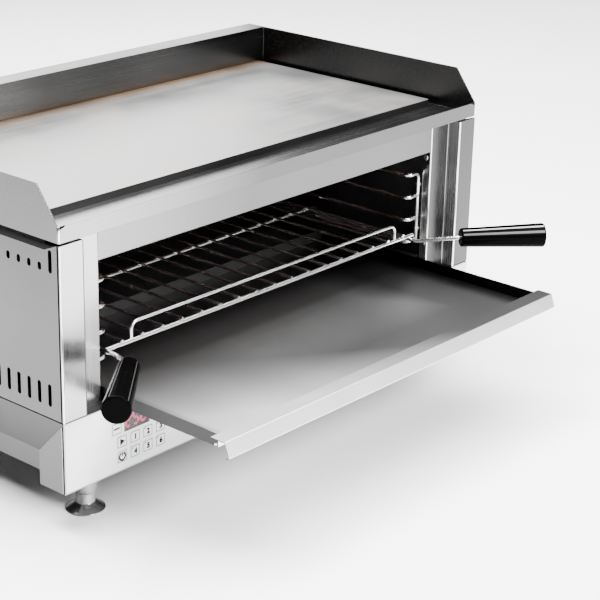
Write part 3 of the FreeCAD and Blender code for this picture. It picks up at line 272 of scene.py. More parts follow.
@dataclass(frozen=True)
class BrushedSteel:
    """Sheet steel with fine parallel brush lines and faint clouds, and painted light and shade by the way
    each face looks.

    The painted tones are factors on the colour: painted shade on faces that look sideways, a painted
    highlight on those that look to the left and painted shade on the top of these, painted shade on those
    that look up and down, a painted highlight on the rounded folds, and painted shade on the right end of a
    long front.
    """

    name: str
    colour: Colour
    grain: Grain
    roughness: float = 0.3
    contrast: float = 0.05
    cloud: float = 0.05
    depth: float = 0.00003
    # Factors of painted light and shade: below 1 paints shade, above 1 paints a highlight.
    painted_flank_shade: float = 1.0
    painted_left_highlight: float = 1.0
    painted_crown_shade: float = 1.0
    painted_top_shade: float = 1.0
    under: float = 1.0
    painted_bend_highlight: float = 1.0
    painted_right_shade: float = 1.0

    def build(self) -> bpy.types.Material:
        """Makes the finish.

        Returns:
            The material.
        """
        graph = Graph(self.name)
        fine = graph.noise(graph.place(self.grain.value), 1.0, 4.0)
        coarse = graph.noise(graph.place(tuple(v / 6 for v in self.grain.value)), 1.0, 2.0)
        cloud = graph.noise(graph.place(), 6.0, 3.0)
        streak = graph.math("ADD", graph.math("MULTIPLY", fine, 0.65), graph.math("MULTIPLY", coarse, 0.35))
        tone = graph.span(streak, (0.3, 0.7), (0.0, 1.0))
        steel = graph.blend(tone, shade(self.colour, 1 - self.contrast),
                            shade(self.colour, 1 + self.contrast))
        veil = graph.span(cloud, (0.35, 0.65), (0.0, self.cloud))
        clouded = graph.blend(veil, steel, shade(self.colour, 0.45))
        # Masks by the way each face looks and by height, for the painted light and shade below.
        sideways = graph.facing("X")
        upright = graph.axis("Z", "Normal")
        bend_highlight_share = graph.math("MINIMUM", graph.span(sideways, (0.2, 0.5), (0.0, 1.0)),
                            graph.span(graph.facing("Y"), (0.2, 0.5), (0.0, 1.0)))
        leftness = graph.span(graph.axis("X", "Normal"), (-0.45, -0.9), (0.0, 1.0))
        height = graph.span(graph.axis("Z"), (0.19, 0.27), (0.0, 1.0))
        # Each factor paints shade or a highlight by multiplying the colour where its mask holds.
        for factor, share in (
            (self.painted_flank_shade, graph.span(sideways, (0.45, 0.9), (0.0, 1.0))),
            (self.painted_left_highlight, leftness),
            (self.painted_crown_shade, graph.math("MULTIPLY", leftness, height)),
            (self.painted_top_shade, graph.span(upright, (0.3, 0.6), (0.0, 1.0))),
            (self.under, graph.span(upright, (-0.15, -0.35), (0.0, 1.0))),
            (self.painted_bend_highlight, bend_highlight_share),
            (self.painted_right_shade, graph.span(graph.axis("X"), (-0.30, -0.05), (0.0, 1.0))),
        ):
            if factor != 1.0:
                clouded = graph.blend(share, clouded, (factor, factor, factor), "MULTIPLY")
        graph.feed("Base Color", clouded)
        brushed = graph.span(streak, (0.3, 0.7), (self.roughness - 0.05, self.roughness + 0.05))
        graph.feed("Roughness", graph.math("ADD", brushed, graph.span(cloud, (0.3, 0.7), (-0.03, 0.04))))
        graph.relief(streak, self.depth)
        graph.fix(Metallic=1.0)
        return graph.material


@dataclass(frozen=True)
class GriddleSteel:
    """Ground plate: bright on top, raw dark edges, browned by heat along the rear and in faint clouds."""

    name: str
    colour: Colour
    edge: Colour
    rear: float

    def build(self) -> bpy.types.Material:
        """Makes the finish.

        Returns:
            The material.
        """
        graph = Graph(self.name)
        grind = graph.noise(graph.place((3.0, 500.0, 500.0)), 1.0, 4.0)
        cloud = graph.noise(graph.place(), 9.0, 4.0)
        wide = graph.noise(graph.place((3.0, 5.0, 5.0)), 1.0, 3.0)
        steel = graph.blend(graph.span(grind, (0.3, 0.7), (0.0, 1.0)), shade(self.colour, 0.94),
                            shade(self.colour, 1.05))
        warm = graph.blend(graph.span(cloud, (0.5, 0.8), (0.0, 0.28)), steel, (0.42, 0.31, 0.22))
        wide_tint = graph.blend(graph.span(wide, (0.45, 0.75), (0.0, 0.22)), warm, (0.30, 0.30, 0.33))
        back = graph.span(graph.axis("Y"), (self.rear - 0.03, self.rear), (0.0, 0.8))
        straw = graph.blend(back, wide_tint, (0.36, 0.2, 0.09))
        top = graph.span(graph.axis("Z", "Normal"), (0.3, 0.8), (0.0, 1.0))
        graph.feed("Base Color", graph.blend(top, self.edge, straw))
        rough = graph.math("ADD", graph.span(cloud, (0.3, 0.7), (0.34, 0.46)),
                           graph.span(grind, (0.3, 0.7), (-0.04, 0.04)))
        graph.feed("Roughness", rough)
        graph.relief(graph.math("ADD", grind, graph.math("MULTIPLY", cloud, 0.6)), 0.00004)
        graph.fix(Metallic=1.0)
        return graph.material


@dataclass(frozen=True)
class TraySteel:
    """Smooth rolled sheet with faint wiping marks, and painted shade toward the right, the rear, the walls
    and the corners.

    Half is half the width between the walls, front and rear are where the floor begins and ends along Y.
    """

    name: str
    colour: Colour
    half: float
    front: float
    rear: float
    # Factor of the painted shade, and the colour of the painted shadow and shade.
    painted_shade_level: float = 0.14
    painted_shadow_colour: Colour = (0.004, 0.004, 0.004)

    def build(self) -> bpy.types.Material:
        """Makes the finish.

        Returns:
            The material.
        """
        graph = Graph(self.name)
        rolled = graph.noise(graph.place((500.0, 3.0, 500.0)), 1.0, 4.0)
        sweep = graph.node("TexWave", wave_type="RINGS", rings_direction="Z", wave_profile="SIN")
        sweep.inputs["Scale"].default_value = 5.0
        sweep.inputs["Distortion"].default_value = 9.0
        sweep.inputs["Detail"].default_value = 4.0
        sweep.inputs["Detail Scale"].default_value = 1.6
        graph.link(graph.place((1.0, 0.6, 1.0)), sweep.inputs["Vector"])
        wiped = graph.noise(graph.place((14.0, 2.2, 14.0), (0.0, 0.0, 0.5)), 1.0, 4.0)
        steel = graph.blend(graph.span(wiped, (0.35, 0.7), (0.0, 1.0)), shade(self.colour, 0.97),
                            shade(self.colour, 1.03))
        swept = graph.blend(graph.span(sweep.outputs["Fac"], (0.6, 1.0), (0.0, 0.08)), steel,
                            shade(self.colour, 0.7))
        # Painted shade: a slanting ramp darkens the floor toward the right and the rear, less near the front.
        across, along = graph.axis("X"), graph.axis("Y")
        inward = graph.math("MULTIPLY", graph.math("SUBTRACT", along, self.front), 1.5)
        aslant = graph.span(graph.math("ADD", across, inward), (-0.15, 0.10), (0.0, 1.0))
        fore = graph.span(along, (self.front + 0.16, self.front + 0.06), (0.62, 1.0))
        painted_shade_ramp = graph.math("MAXIMUM", graph.math("MULTIPLY", aslant, fore),
                          graph.span(across, (0.04, 0.20), (0.0, 1.0)))
        level = graph.span(graph.facing("Y"), (0.4, 0.8), (1.0, 0.0))
        toned = graph.blend(graph.math("MULTIPLY", painted_shade_ramp, level), swept, (self.painted_shade_level,) * 3, "MULTIPLY")
        # Painted shadow toward the rear under the casing, and painted shade on the walls and in the corners
        # behind the lip.
        rear_painted_shadow = graph.span(along, (self.rear - 0.15, self.rear - 0.085), (0.0, 0.82))
        corner = graph.span(graph.math("ABSOLUTE", across, 0.0), (self.half - 0.03, self.half - 0.012),
                            (0.0, 0.8))
        behind_lip = graph.span(along, (self.front + 0.002, self.front + 0.02), (0.0, 1.0))
        walls = graph.span(graph.facing("X"), (0.4, 0.8), (0.0, 0.965))
        wall_and_corner_shade = graph.math("MAXIMUM", walls, graph.math("MULTIPLY", corner, behind_lip))
        graph.feed("Base Color", graph.blend(graph.math("MAXIMUM", rear_painted_shadow, wall_and_corner_shade), toned, self.painted_shadow_colour))
        rough = graph.math("ADD", graph.span(wiped, (0.3, 0.75), (0.375, 0.39)),
                           graph.span(sweep.outputs["Fac"], (0.2, 1.0), (0.0, 0.006)))
        graph.feed("Roughness", rough)
        graph.relief(rolled, 0.00001)
        graph.fix(Metallic=1.0)
        return graph.material


@dataclass(frozen=True)
class DarkSheet:
    """Dark cavity sheet with a satin skin, baked specks and a little dust."""

    name: str
    colour: Colour
    roughness: float = 0.38

    def build(self) -> bpy.types.Material:
        """Makes the finish.

        Returns:
            The material.
        """
        graph = Graph(self.name)
        cloud = graph.noise(graph.place(), 14.0, 5.0)
        speck = graph.noise(graph.place(), 320.0, 2.0)
        dark = graph.blend(graph.span(cloud, (0.4, 0.75), (0.0, 1.0)), self.colour, shade(self.colour, 2.2))
        dust = graph.span(speck, (0.66, 0.74), (0.0, 0.5))
        graph.feed("Base Color", graph.blend(dust, dark, (0.12, 0.09, 0.07)))
        graph.feed("Roughness", graph.span(cloud, (0.3, 0.7), (self.roughness - 0.06, self.roughness + 0.1)))
        graph.relief(speck, 0.00004)
        graph.fix(Metallic=0.55)
        return graph.material


@dataclass(frozen=True)
class WireSteel:
    """Drawn wire with a bright skin and light stains near the heat."""

    name: str
    colour: Colour
    stain: Colour
    roughness: float = 0.16

    def build(self) -> bpy.types.Material:
        """Makes the finish.

        Returns:
            The material.
        """
        graph = Graph(self.name)
        cloud = graph.noise(graph.place(), 40.0, 4.0)
        drawn = graph.noise(graph.place(), 1500.0, 2.0)
        stained = graph.span(cloud, (0.52, 0.8), (0.0, 0.55))
        graph.feed("Base Color", graph.blend(stained, self.colour, self.stain))
        graph.feed("Roughness", graph.span(cloud, (0.3, 0.8), (self.roughness - 0.04, self.roughness + 0.12)))
        graph.relief(drawn, 0.00001)
        graph.fix(Metallic=1.0)
        return graph.material


@dataclass(frozen=True)
class HotSheath:
    """Tube of a heater: dark scale with a dull glow."""

    name: str
    glow: float

    def build(self) -> bpy.types.Material:
        """Makes the finish.

        Returns:
            The material.
        """
        graph = Graph(self.name)
        scale = graph.noise(graph.place(), 260.0, 4.0)
        burnt = graph.span(scale, (0.4, 0.7), (0.0, 1.0))
        graph.feed("Base Color", graph.blend(burnt, (0.06, 0.05, 0.045), (0.2, 0.13, 0.1)))
        graph.feed("Roughness", graph.span(scale, (0.3, 0.7), (0.45, 0.65)))
        graph.relief(scale, 0.00005)
        graph.fix(Metallic=0.7, Emission_Color=(1.0, 0.23, 0.04, 1.0), Emission_Strength=self.glow)
        return graph.material


@dataclass(frozen=True)
class Plastic:
    """Moulded or printed plastic with a fine grain."""

    name: str
    colour: Colour
    roughness: float = 0.45
    grain: float = 900.0
    depth: float = 0.00003
    alpha: float = 1.0
    gloss: float = 0.5

    def build(self) -> bpy.types.Material:
        """Makes the finish.

        Returns:
            The material.
        """
        graph = Graph(self.name)
        pebble = graph.noise(graph.place(), self.grain, 3.0)
        cloud = graph.noise(graph.place(), 25.0, 3.0)
        clouded = graph.span(cloud, (0.35, 0.7), (0.0, 1.0))
        graph.feed("Base Color", graph.blend(clouded, self.colour, shade(self.colour, 0.93)))
        graph.feed("Roughness", graph.span(cloud, (0.3, 0.7), (self.roughness * 0.85, self.roughness * 1.15)))
        graph.relief(pebble, self.depth)
        graph.fix(Alpha=self.alpha, Specular_IOR_Level=self.gloss)
        return graph.material


@dataclass(frozen=True)
class GripPlastic:
    """Black hard plastic, with grey painted highlights along a few lines.

    Each painted highlight has the direction that its line looks to, how wide it is and how light.
    """

    name: str
    colour: Colour
    painted_highlights: tuple[tuple[Place, float, float], ...]

    def build(self) -> bpy.types.Material:
        """Makes the finish.

        Returns:
            The material.
        """
        graph = Graph(self.name)
        rubbed = graph.noise(graph.place(), 60.0, 3.0)
        tone: Tint = self.colour
        # Painted highlights: each lightens the colour where the surface looks along its direction.
        for direction, reach, grey in self.painted_highlights:
            facing = graph.node("VectorMath", operation="DOT_PRODUCT")
            graph.link(graph.node("TexCoord").outputs["Normal"], facing.inputs[0])
            facing.inputs[1].default_value = Vector(direction).normalized()
            share = graph.span(facing.outputs["Value"], (1.0 - reach, 1.0 - reach / 3), (0.0, 1.0))
            tone = graph.blend(share, tone, (grey, grey, grey))
        graph.feed("Base Color", tone)
        graph.feed("Roughness", graph.span(rubbed, (0.3, 0.7), (0.09, 0.13)))
        graph.fix(Specular_IOR_Level=0.01)
        return graph.material


@dataclass(frozen=True)
class Glow:
    """A lit lamp or digit."""

    name: str
    colour: Colour
    strength: float

    def build(self) -> bpy.types.Material:
        """Makes the finish.

        Returns:
            The material.
        """
        graph = Graph(self.name)
        cell = graph.noise(graph.place(), 1800.0, 2.0)
        uneven = graph.span(cell, (0.3, 0.7), (0.0, 1.0))
        graph.feed("Base Color", graph.blend(uneven, self.colour, shade(self.colour, 0.8)))
        graph.fix(Roughness=0.4, Emission_Color=(*self.colour, 1.0), Emission_Strength=self.strength)
        return graph.material


@dataclass(frozen=True)
class Wool:
    """Fibrous insulation."""

    name: str
    colour: Colour

    def build(self) -> bpy.types.Material:
        """Makes the finish.

        Returns:
            The material.
        """
        graph = Graph(self.name)
        fibre = graph.noise(graph.place((60.0, 400.0, 400.0)), 2.0, 6.0)
        graph.feed("Base Color", graph.blend(fibre, shade(self.colour, 0.6), self.colour))
        graph.relief(fibre, 0.001)
        graph.fix(Roughness=0.95, Sheen_Weight=0.3)
        return graph.material


@dataclass(frozen=True)
class FloorPaper:
    """Pale studio paper."""

    name: str
    colour: Colour

    def build(self) -> bpy.types.Material:
        """Makes the finish.

        Returns:
            The material.
        """
        graph = Graph(self.name)
        tooth = graph.noise(graph.place(), 300.0, 3.0)
        graph.feed("Base Color", graph.blend(tooth, shade(self.colour, 0.985), self.colour))
        graph.fix(Roughness=0.7)
        return graph.material


def dress(finish: bpy.types.Material, *nodes: str) -> None:
    """Gives CAD nodes a finish.

    Args:
        finish: the material.
        nodes: names of the nodes.
    """
    for name in nodes:
        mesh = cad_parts[name].data
        mesh.materials.clear()
        mesh.materials.append(finish)
        log.info("finish %s on %s", finish.name, name)


def soften(width: float, *nodes: str) -> None:
    """Rounds the sharp edges of sheet nodes a little, so that they catch light.

    Args:
        width: the rounding in metres.
        nodes: names of the nodes.
    """
    for name in nodes:
        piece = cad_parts[name]
        weld = piece.modifiers.new("join_faces", "WELD")
        weld.merge_threshold = 0.000002
        edge = piece.modifiers.new("soft_edges", "BEVEL")
        edge.width = width
        edge.segments = 2
        edge.limit_method = "ANGLE"
        edge.angle_limit = math.radians(50)
        edge.harden_normals = True
        edge.use_clamp_overlap = True


def add_object(name: str, data: bpy.types.ID) -> bpy.types.Object:
    """Adds an object to the scene.

    Args:
        name: its name.
        data: its mesh, lamp or camera.

    Returns:
        The new object.
    """
    made = bpy.data.objects.new(name, data)
    bpy.context.scene.collection.objects.link(made)
    return made


def close_mesh(name: str, work: bmesh.types.BMesh) -> bpy.types.Mesh:
    """Turns a built solid into a mesh whose faces look outward.

    Args:
        name: the mesh's name.
        work: the solid, which is freed.

    Returns:
        The mesh.
    """
    bmesh.ops.recalc_face_normals(work, faces=work.faces[:])
    mesh = bpy.data.meshes.new(name)
    work.to_mesh(mesh)
    work.free()
    return mesh


def flat_piece(name: str, outlines: list[list[Point]], plane: Matrix, thickness: float) -> bpy.types.Object:
    """A thin printed piece from flat outlines.

    Args:
        name: the piece's name.
        outlines: closed outlines in the plane, each a list of points.
        plane: where the plane lies in the frame.
        thickness: how far the print stands up along the plane's own Z.

    Returns:
        The new object.
    """
    work = bmesh.new()
    for outline in outlines:
        corners = [work.verts.new((x, y, 0.0)) for x, y in outline]
        work.faces.new(corners)
    grown = bmesh.ops.extrude_face_region(work, geom=work.faces[:])
    for item in grown["geom"]:
        if isinstance(item, bmesh.types.BMVert):
            item.co.z += thickness
    mesh = close_mesh(name, work)
    mesh.transform(plane)
    return add_object(name, mesh)


def strip(name: str, start: Place, end: Place, rise: float, steps: int = 6) -> bpy.types.Object:
    """A narrow upright band on a front face, domed so that it catches light as a rounded fold does.

    Args:
        name: the piece's name.
        start: its low left corner on the face.
        end: its high right corner on the face.
        rise: how far its middle stands out from the face.
        steps: how many flat bands the dome has.

    Returns:
        The new object.
    """
    work = bmesh.new()
    columns = []
    for i in range(steps + 1):
        share = i / steps
        x = start[0] + (end[0] - start[0]) * share
        y = start[1] - rise * math.sin(math.pi * share)
        columns.append([work.verts.new((x, y, z)) for z in (start[2], end[2])])
    for a, b in zip(columns, columns[1:]):
        work.faces.new((a[0], b[0], b[1], a[1]))
    work.faces.new((columns[0][0], columns[0][1], columns[-1][1], columns[-1][0]))
    for row in (0, 1):
        work.faces.new([column[row] for column in columns])
    return add_object(name, close_mesh(name, work))


def finish_piece(piece: bpy.types.Object, finish: bpy.types.Material, body: str) -> None:
    """Dresses a new piece and lets it ride on its body.

    Args:
        piece: the new object.
        finish: its material.
        body: the CAD body that carries it.
    """
    piece.data.materials.clear()
    piece.data.materials.append(finish)
    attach(piece, body)
    log.info("piece %s rides on %s", piece.name, body)


def arc(radius: float, start: float, end: float, steps: int, centre: Point = (0.0, 0.0)) -> list[Point]:
    """Points on an arc.

    Args:
        radius: of the arc.
        start: first angle in degrees.
        end: last angle in degrees.
        steps: how many spans it has.
        centre: of the arc.

    Returns:
        The points in order.
    """
    turns = [math.radians(start + (end - start) * i / steps) for i in range(steps + 1)]
    return [(centre[0] + radius * math.cos(t), centre[1] + radius * math.sin(t)) for t in turns]


def band(line: list[Point], width: float) -> list[list[Point]]:
    """Outlines of a band of even width along a line, one for each span.

    Args:
        line: points of the middle line.
        width: of the band.

    Returns:
        A four-cornered outline for each span.
    """
    rows = []
    for i, (x, y) in enumerate(line):
        before = Vector(line[max(i - 1, 0)])
        after = Vector(line[min(i + 1, len(line) - 1)])
        along = (after - before).normalized()
        rows.append(((x - along.y * width / 2, y + along.x * width / 2),
                     (x + along.y * width / 2, y - along.x * width / 2)))
    return [[a[0], a[1], b[1], b[0]] for a, b in zip(rows, rows[1:])]


def rounded_frame(half_x: float, half_y: float, radius: float, width: float) -> list[list[Point]]:
    """Outlines of a closed band that follows a rectangle with round corners.

    Args:
        half_x: half its width.
        half_y: half its height.
        radius: of its corners.
        width: of the band.

    Returns:
        A four-cornered outline for each span.
    """
    corners = tuple(zip((0, 90, 180, 270), ((1, 1), (-1, 1), (-1, -1), (1, -1))))
    outer, inner = ([point for start, (sx, sy) in corners for point in
                     arc(reach, start, start + 90, 5, (sx * (half_x - radius), sy * (half_y - radius)))]
                    for reach in (radius, radius - width))
    following = outer[1:] + outer[:1], inner[1:] + inner[:1]
    return [list(outline) for outline in zip(outer, *following, inner)]


def front_plane(x: float, y: float, z: float) -> Matrix:
    """A plane that faces the front, its X to the right and its Y up.

    Args:
        x: its origin to the right in the frame.
        y: its origin to the rear.
        z: its origin upward.

    Returns:
        The plane's place.
    """
    return Matrix.Translation((x, y, z)) @ Matrix.Rotation(math.radians(90), 4, "X")


@dataclass
class Casing:
    """Sheet casing: posts, fascia, side and rear panels, base pan and screws.

    Edge is the rounding of the sheets' edges, trim is how far the painted fold lines stand out and stop
    short, and box_fold is where the painted shade line at the lower fold of the control box begins and ends
    above its underside.
    """

    edge: float = 0.0007
    trim: float = 0.0003
    margin: float = 0.001
    post_width: float = 0.0325
    post_recess: float = 0.017
    fold_width: float = 0.0026
    rim_fold_width: float = 0.0024
    strip_edge_width: float = 0.0022
    dark_edge_width: float = 0.0013
    web_fold_width: float = 0.0009
    box_fold: Point = (0.0003, 0.0018)

    def build(self) -> None:
        """Dresses the casing."""
        # Lit and shaded copies of one brushed steel: darker colours paint shade and reflection on the right
        # post, fascia, side panels and base pan; the factors paint more shade and highlights.
        front = BrushedSteel("front_steel", (0.46, 0.46, 0.46), Grain.ALONG_Z, 0.22, painted_flank_shade=0.4,
                             painted_bend_highlight=2.1).build()
        # Right post: a painted highlight on its left-looking web, painted shade on the top of it, and painted
        # fold highlights.
        right = BrushedSteel("right_post_steel", (0.07, 0.07, 0.07), Grain.ALONG_Z, 0.26, painted_left_highlight=12.0,
                             painted_crown_shade=0.4, painted_bend_highlight=9.0).build()
        # Fascia: painted shade toward its right end.
        across = BrushedSteel("fascia_steel", (0.26, 0.26, 0.26), Grain.ALONG_X, 0.25, painted_right_shade=0.45).build()
        side = BrushedSteel("side_steel", (0.092, 0.092, 0.092), Grain.ALONG_Y, 0.30, 0.06, 0.08).build()
        pan = BrushedSteel("pan_steel", (0.086, 0.086, 0.086), Grain.ALONG_Y, 0.30, 0.06, 0.08,
                           under=0.62).build()
        dress(front, "front_post_left")
        dress(right, "front_post_right")
        dress(across, "fascia")
        self.add_folds()
        dress(side, "side_panel_left", "side_panel_right", "back_panel")
        dress(pan, "base_pan")
        dress(WireSteel("screw_steel", (0.6, 0.6, 0.6), (0.35, 0.32, 0.3), 0.25).build(), "back_screws",
              "liner_screws", "foot_nuts", "clamp_studs", "plate_probe")
        dress(Plastic("gland_black", (0.02, 0.02, 0.022), 0.4).build(), "cable_gland")
        soften(self.edge, "front_post_left", "front_post_right", "fascia", "side_panel_left",
               "side_panel_right", "base_pan", "splash_surround", "control_box")

    def add_folds(self) -> None:
        """Adds narrow domed strips along the folds of the front, coloured as painted highlights and painted
        shade lines.
        """
        # Painted highlights and shade: the bright strips paint fold highlights, the mid-grey ones a highlight
        # on the dark web and a shade line on the control box, and the dark one a shade line.
        bright = WireSteel("painted_fold_highlight", (0.95, 0.95, 0.95), (0.85, 0.85, 0.85), 0.2).build()
        dull = WireSteel("painted_fold_midtone", (0.4, 0.4, 0.4), (0.35, 0.35, 0.35), 0.3).build()
        dark = BrushedSteel("painted_fold_shade", (0.06, 0.06, 0.06), Grain.ALONG_Z, 0.3).build()
        low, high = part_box("front_post_left")
        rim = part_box("splash_surround")[0]
        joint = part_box("rim_seals")[0].z
        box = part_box("control_box")[0].z
        front, half, outer = low.y, high.x, -low.x
        recess = front + self.post_recess
        edge = outer - self.post_width
        foot, top = low.z + 2 * self.trim, high.z - self.trim
        for name, finish, start, end in (
            ("left_post_fold_highlight", bright, (-outer, front, foot), (-outer + self.fold_width, front, top)),
            ("left_post_edge_shade", dark, (-edge - self.dark_edge_width, front, foot), (-edge, front, top)),
            ("right_post_fold_highlight", bright, (edge, front, foot), (edge + self.fold_width, front, top)),
            ("right_web_fold_highlight", dull, (edge - self.web_fold_width, recess, low.z), (edge, recess, top)),
            ("right_strip_edge_highlight", bright, (-half, recess, low.z),
             (-half + self.strip_edge_width, recess, top)),
            ("box_lower_fold_shade", dull, (-outer + self.margin, front, box + self.box_fold[0]),
             (outer - self.margin, front, box + self.box_fold[1])),
            ("left_rim_fold_highlight", bright, (-outer, rim.y, rim.z + 2 * self.margin),
             (-outer + self.rim_fold_width, rim.y, joint)),
        ):
            finish_piece(strip(name, start, end, self.trim), finish, "housing")


@dataclass
class GriddleTop:
    """Plate, splash guards, gasket and the heaters under the plate."""

    def build(self) -> None:
        """Dresses the top."""
        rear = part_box("griddle_plate")[1].y
        # Painted shade on the guard's sides, underside and right end, and painted highlights on its folds.
        dress(BrushedSteel("guard_steel", (0.33, 0.33, 0.33), Grain.ALONG_X, 0.25, painted_flank_shade=0.33, under=0.48,
                           painted_bend_highlight=2.0, painted_right_shade=0.30).build(), "splash_surround")
        dress(GriddleSteel("griddle_steel", (0.37, 0.365, 0.36), (0.05, 0.05, 0.05), rear).build(),
              "griddle_plate")
        dress(Plastic("gasket_rubber", (0.004, 0.004, 0.004), 0.8, gloss=0.08).build(), "surround_gasket",
              "rim_seals")
        dress(HotSheath("plate_heater", 0.0).build(), "griddle_element_left", "griddle_element_right")
        dress(BrushedSteel("zinc_sheet", (0.6, 0.6, 0.62), Grain.NONE, 0.4).build(), "element_clamp_plate",
              "element_hangers")


@dataclass
class GrillCavity:
    """Liner, insulation, heaters, rack carriers and tray guides."""

    def build(self) -> None:
        """Dresses the cavity."""
        dress(DarkSheet("cavity_dark", (0.012, 0.012, 0.013)).build(), "cavity_liner", "tray_guide_left",
              "tray_guide_right")
        dress(Wool("mineral_wool", (0.7, 0.66, 0.55)).build(), "cavity_insulation")
        dress(HotSheath("grill_heater", 0.05).build(), "grill_element_front", "grill_element_middle",
              "grill_element_rear")
        dress(WireSteel("carrier_wire", (0.86, 0.86, 0.86), (0.45, 0.38, 0.3), 0.15).build(),
              "rack_ladder_left", "rack_ladder_right")


@dataclass
class ControlFront:
    """Control box with its film, keys, display and the parts behind them.

    Marks gives each key its body and sign. Shown lists the lit bars of each digit, named as on any seven-bar
    display: a at the top, on round to f, and g in the middle.
    """

    legend_height: float = 0.0085
    print_depth: float = 0.00003
    boldness: float = 0.0006
    frame_half: Point = (0.0067, 0.0064)
    frame_radius: float = 0.0016
    frame_width: float = 0.0010
    digit_shift: Point = (0.0006, -0.0004)
    lamp_shift: Point = (-0.0042, 0.0040)
    lamp_radius: float = 0.0009
    segment_reach: Point = (0.31, 0.42)
    segment_width: float = 0.0031
    segment_gap: float = 0.0004
    segment_depth: float = 0.00005
    marks: dict[str, tuple[str, Mark, str]] = field(default_factory=lambda: {
        "key_minus": ("minus_key", Mark.MINUS, ""),
        "key_plus": ("plus_key", Mark.PLUS, ""),
        "key_start": ("start_key", Mark.START, ""),
        "key_power": ("power_key", Mark.POWER, ""),
        "key_1": ("one_key", Mark.DIGIT, "1"),
        "key_2": ("two_key", Mark.DIGIT, "2"),
        "key_3": ("three_key", Mark.DIGIT, "3"),
        "key_4": ("four_key", Mark.DIGIT, "4"),
        "key_5": ("five_key", Mark.DIGIT, "5"),
        "key_6": ("six_key", Mark.DIGIT, "6"),
    })
    shown: tuple[str, ...] = ("abged", "afgcd", "abcdef")

    def build(self) -> None:
        """Dresses the control front and prints its keys."""
        film = Plastic("front_film", (0.84, 0.85, 0.86), 0.42, 700.0, 0.00002).build()
        cap = Plastic("key_film", (0.86, 0.87, 0.88), 0.4, 700.0, 0.00002).build()
        # Painted shade on the box's sides and top, and painted highlights on its folds.
        dress(BrushedSteel("box_steel", (0.5, 0.5, 0.5), Grain.ALONG_X, 0.30, painted_flank_shade=0.20, painted_top_shade=0.22,
                           painted_bend_highlight=1.9).build(), "control_box")
        dress(film, "control_panel")
        dress(cap, *self.marks)
        dress(Plastic("smoked_window", (0.14, 0.13, 0.14), 0.12, 200.0, 0.00001, alpha=0.45,
                      gloss=0.2).build(), "display_window")
        dress(Plastic("module_black", (0.03, 0.02, 0.02), 0.5).build(), "display_module")
        dress(Plastic("board_green", (0.02, 0.12, 0.05), 0.4).build(), "control_board")
        dress(BrushedSteel("sink_aluminium", (0.75, 0.76, 0.77), Grain.ALONG_Y, 0.4).build(), "power_relay")
        dress(Plastic("terminal_cream", (0.7, 0.66, 0.55), 0.5).build(), "terminal_block")
        dress(WireSteel("thermostat_brass", (0.65, 0.48, 0.2), (0.3, 0.2, 0.1), 0.3).build(),
              "safety_thermostat")
        ink = Plastic("dark_ink", (0.006, 0.006, 0.007), 0.6, gloss=0.08).build()
        line = Plastic("grey_ink", (0.17, 0.17, 0.18), 0.5, gloss=0.2).build()
        unlit = Plastic("unlit_lamp", (0.05, 0.048, 0.048), 0.4, gloss=0.1).build()
        lit = Glow("lit_lamp", (0.8, 0.05, 0.15), 0.7).build()
        for node, (body, mark, text) in self.marks.items():
            self.print_key(node, body, mark, text, ink, line)
            if mark is Mark.DIGIT:
                self.add_lamp(node, body, lit if text == "1" else unlit)
        self.add_digits(Glow("lit_digit", (1.0, 0.07, 0.18), 3.0).build())

    def key_place(self, node: str) -> Vector:
        """Middle of a key's front face.

        Args:
            node: the key's node.

        Returns:
            The point in the frame.
        """
        low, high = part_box(node)
        return Vector(((low.x + high.x) / 2, low.y, (low.z + high.z) / 2))

    def print_key(self, node: str, body: str, mark: Mark, text: str, ink: bpy.types.Material,
                  line: bpy.types.Material) -> None:
        """Prints the frame line and the sign of one key.

        Args:
            node: the key's node.
            body: the key's body.
            mark: what kind of sign it has.
            text: the digit, if it has one.
            ink: finish of the sign.
            line: finish of the frame line.
        """
        place = self.key_place(node)
        plane = front_plane(place.x, place.y, place.z)
        outlines = rounded_frame(*self.frame_half, self.frame_radius, self.frame_width)
        ring = flat_piece(node + "_frame_line", outlines, plane, self.print_depth)
        finish_piece(ring, line, body)
        sign = self.digit(node, text, plane) if mark is Mark.DIGIT else flat_piece(
            node + "_sign", self.sign_outlines(mark), plane, self.print_depth)
        finish_piece(sign, ink, body)

    def sign_outlines(self, mark: Mark) -> list[list[Point]]:
        """Outlines of the signs that aren't digits.

        Args:
            mark: which sign.

        Returns:
            Closed outlines around the middle of the key.
        """
        reach, thin, arrow = 0.0045, 0.0020, 0.0043
        ring_radius, ring_width, tick_start, tick_end = 0.0043, 0.0023, 0.0006, 0.0048
        bar = [(-reach, -thin / 2), (reach, -thin / 2), (reach, thin / 2), (-reach, thin / 2)]
        if mark is Mark.MINUS:
            return [bar]
        if mark is Mark.PLUS:
            return [bar, [(-thin / 2, thin / 2), (thin / 2, thin / 2), (thin / 2, reach), (-thin / 2, reach)],
                    [(-thin / 2, -reach), (thin / 2, -reach), (thin / 2, -thin / 2), (-thin / 2, -thin / 2)]]
        if mark is Mark.START:
            return [[(-arrow * 0.7, -arrow), (arrow, 0.0), (-arrow * 0.7, arrow)]]
        tick = [(-thin / 2, tick_start), (thin / 2, tick_start), (thin / 2, tick_end), (-thin / 2, tick_end)]
        return band(arc(ring_radius, 115, 425, 24), ring_width) + [tick]

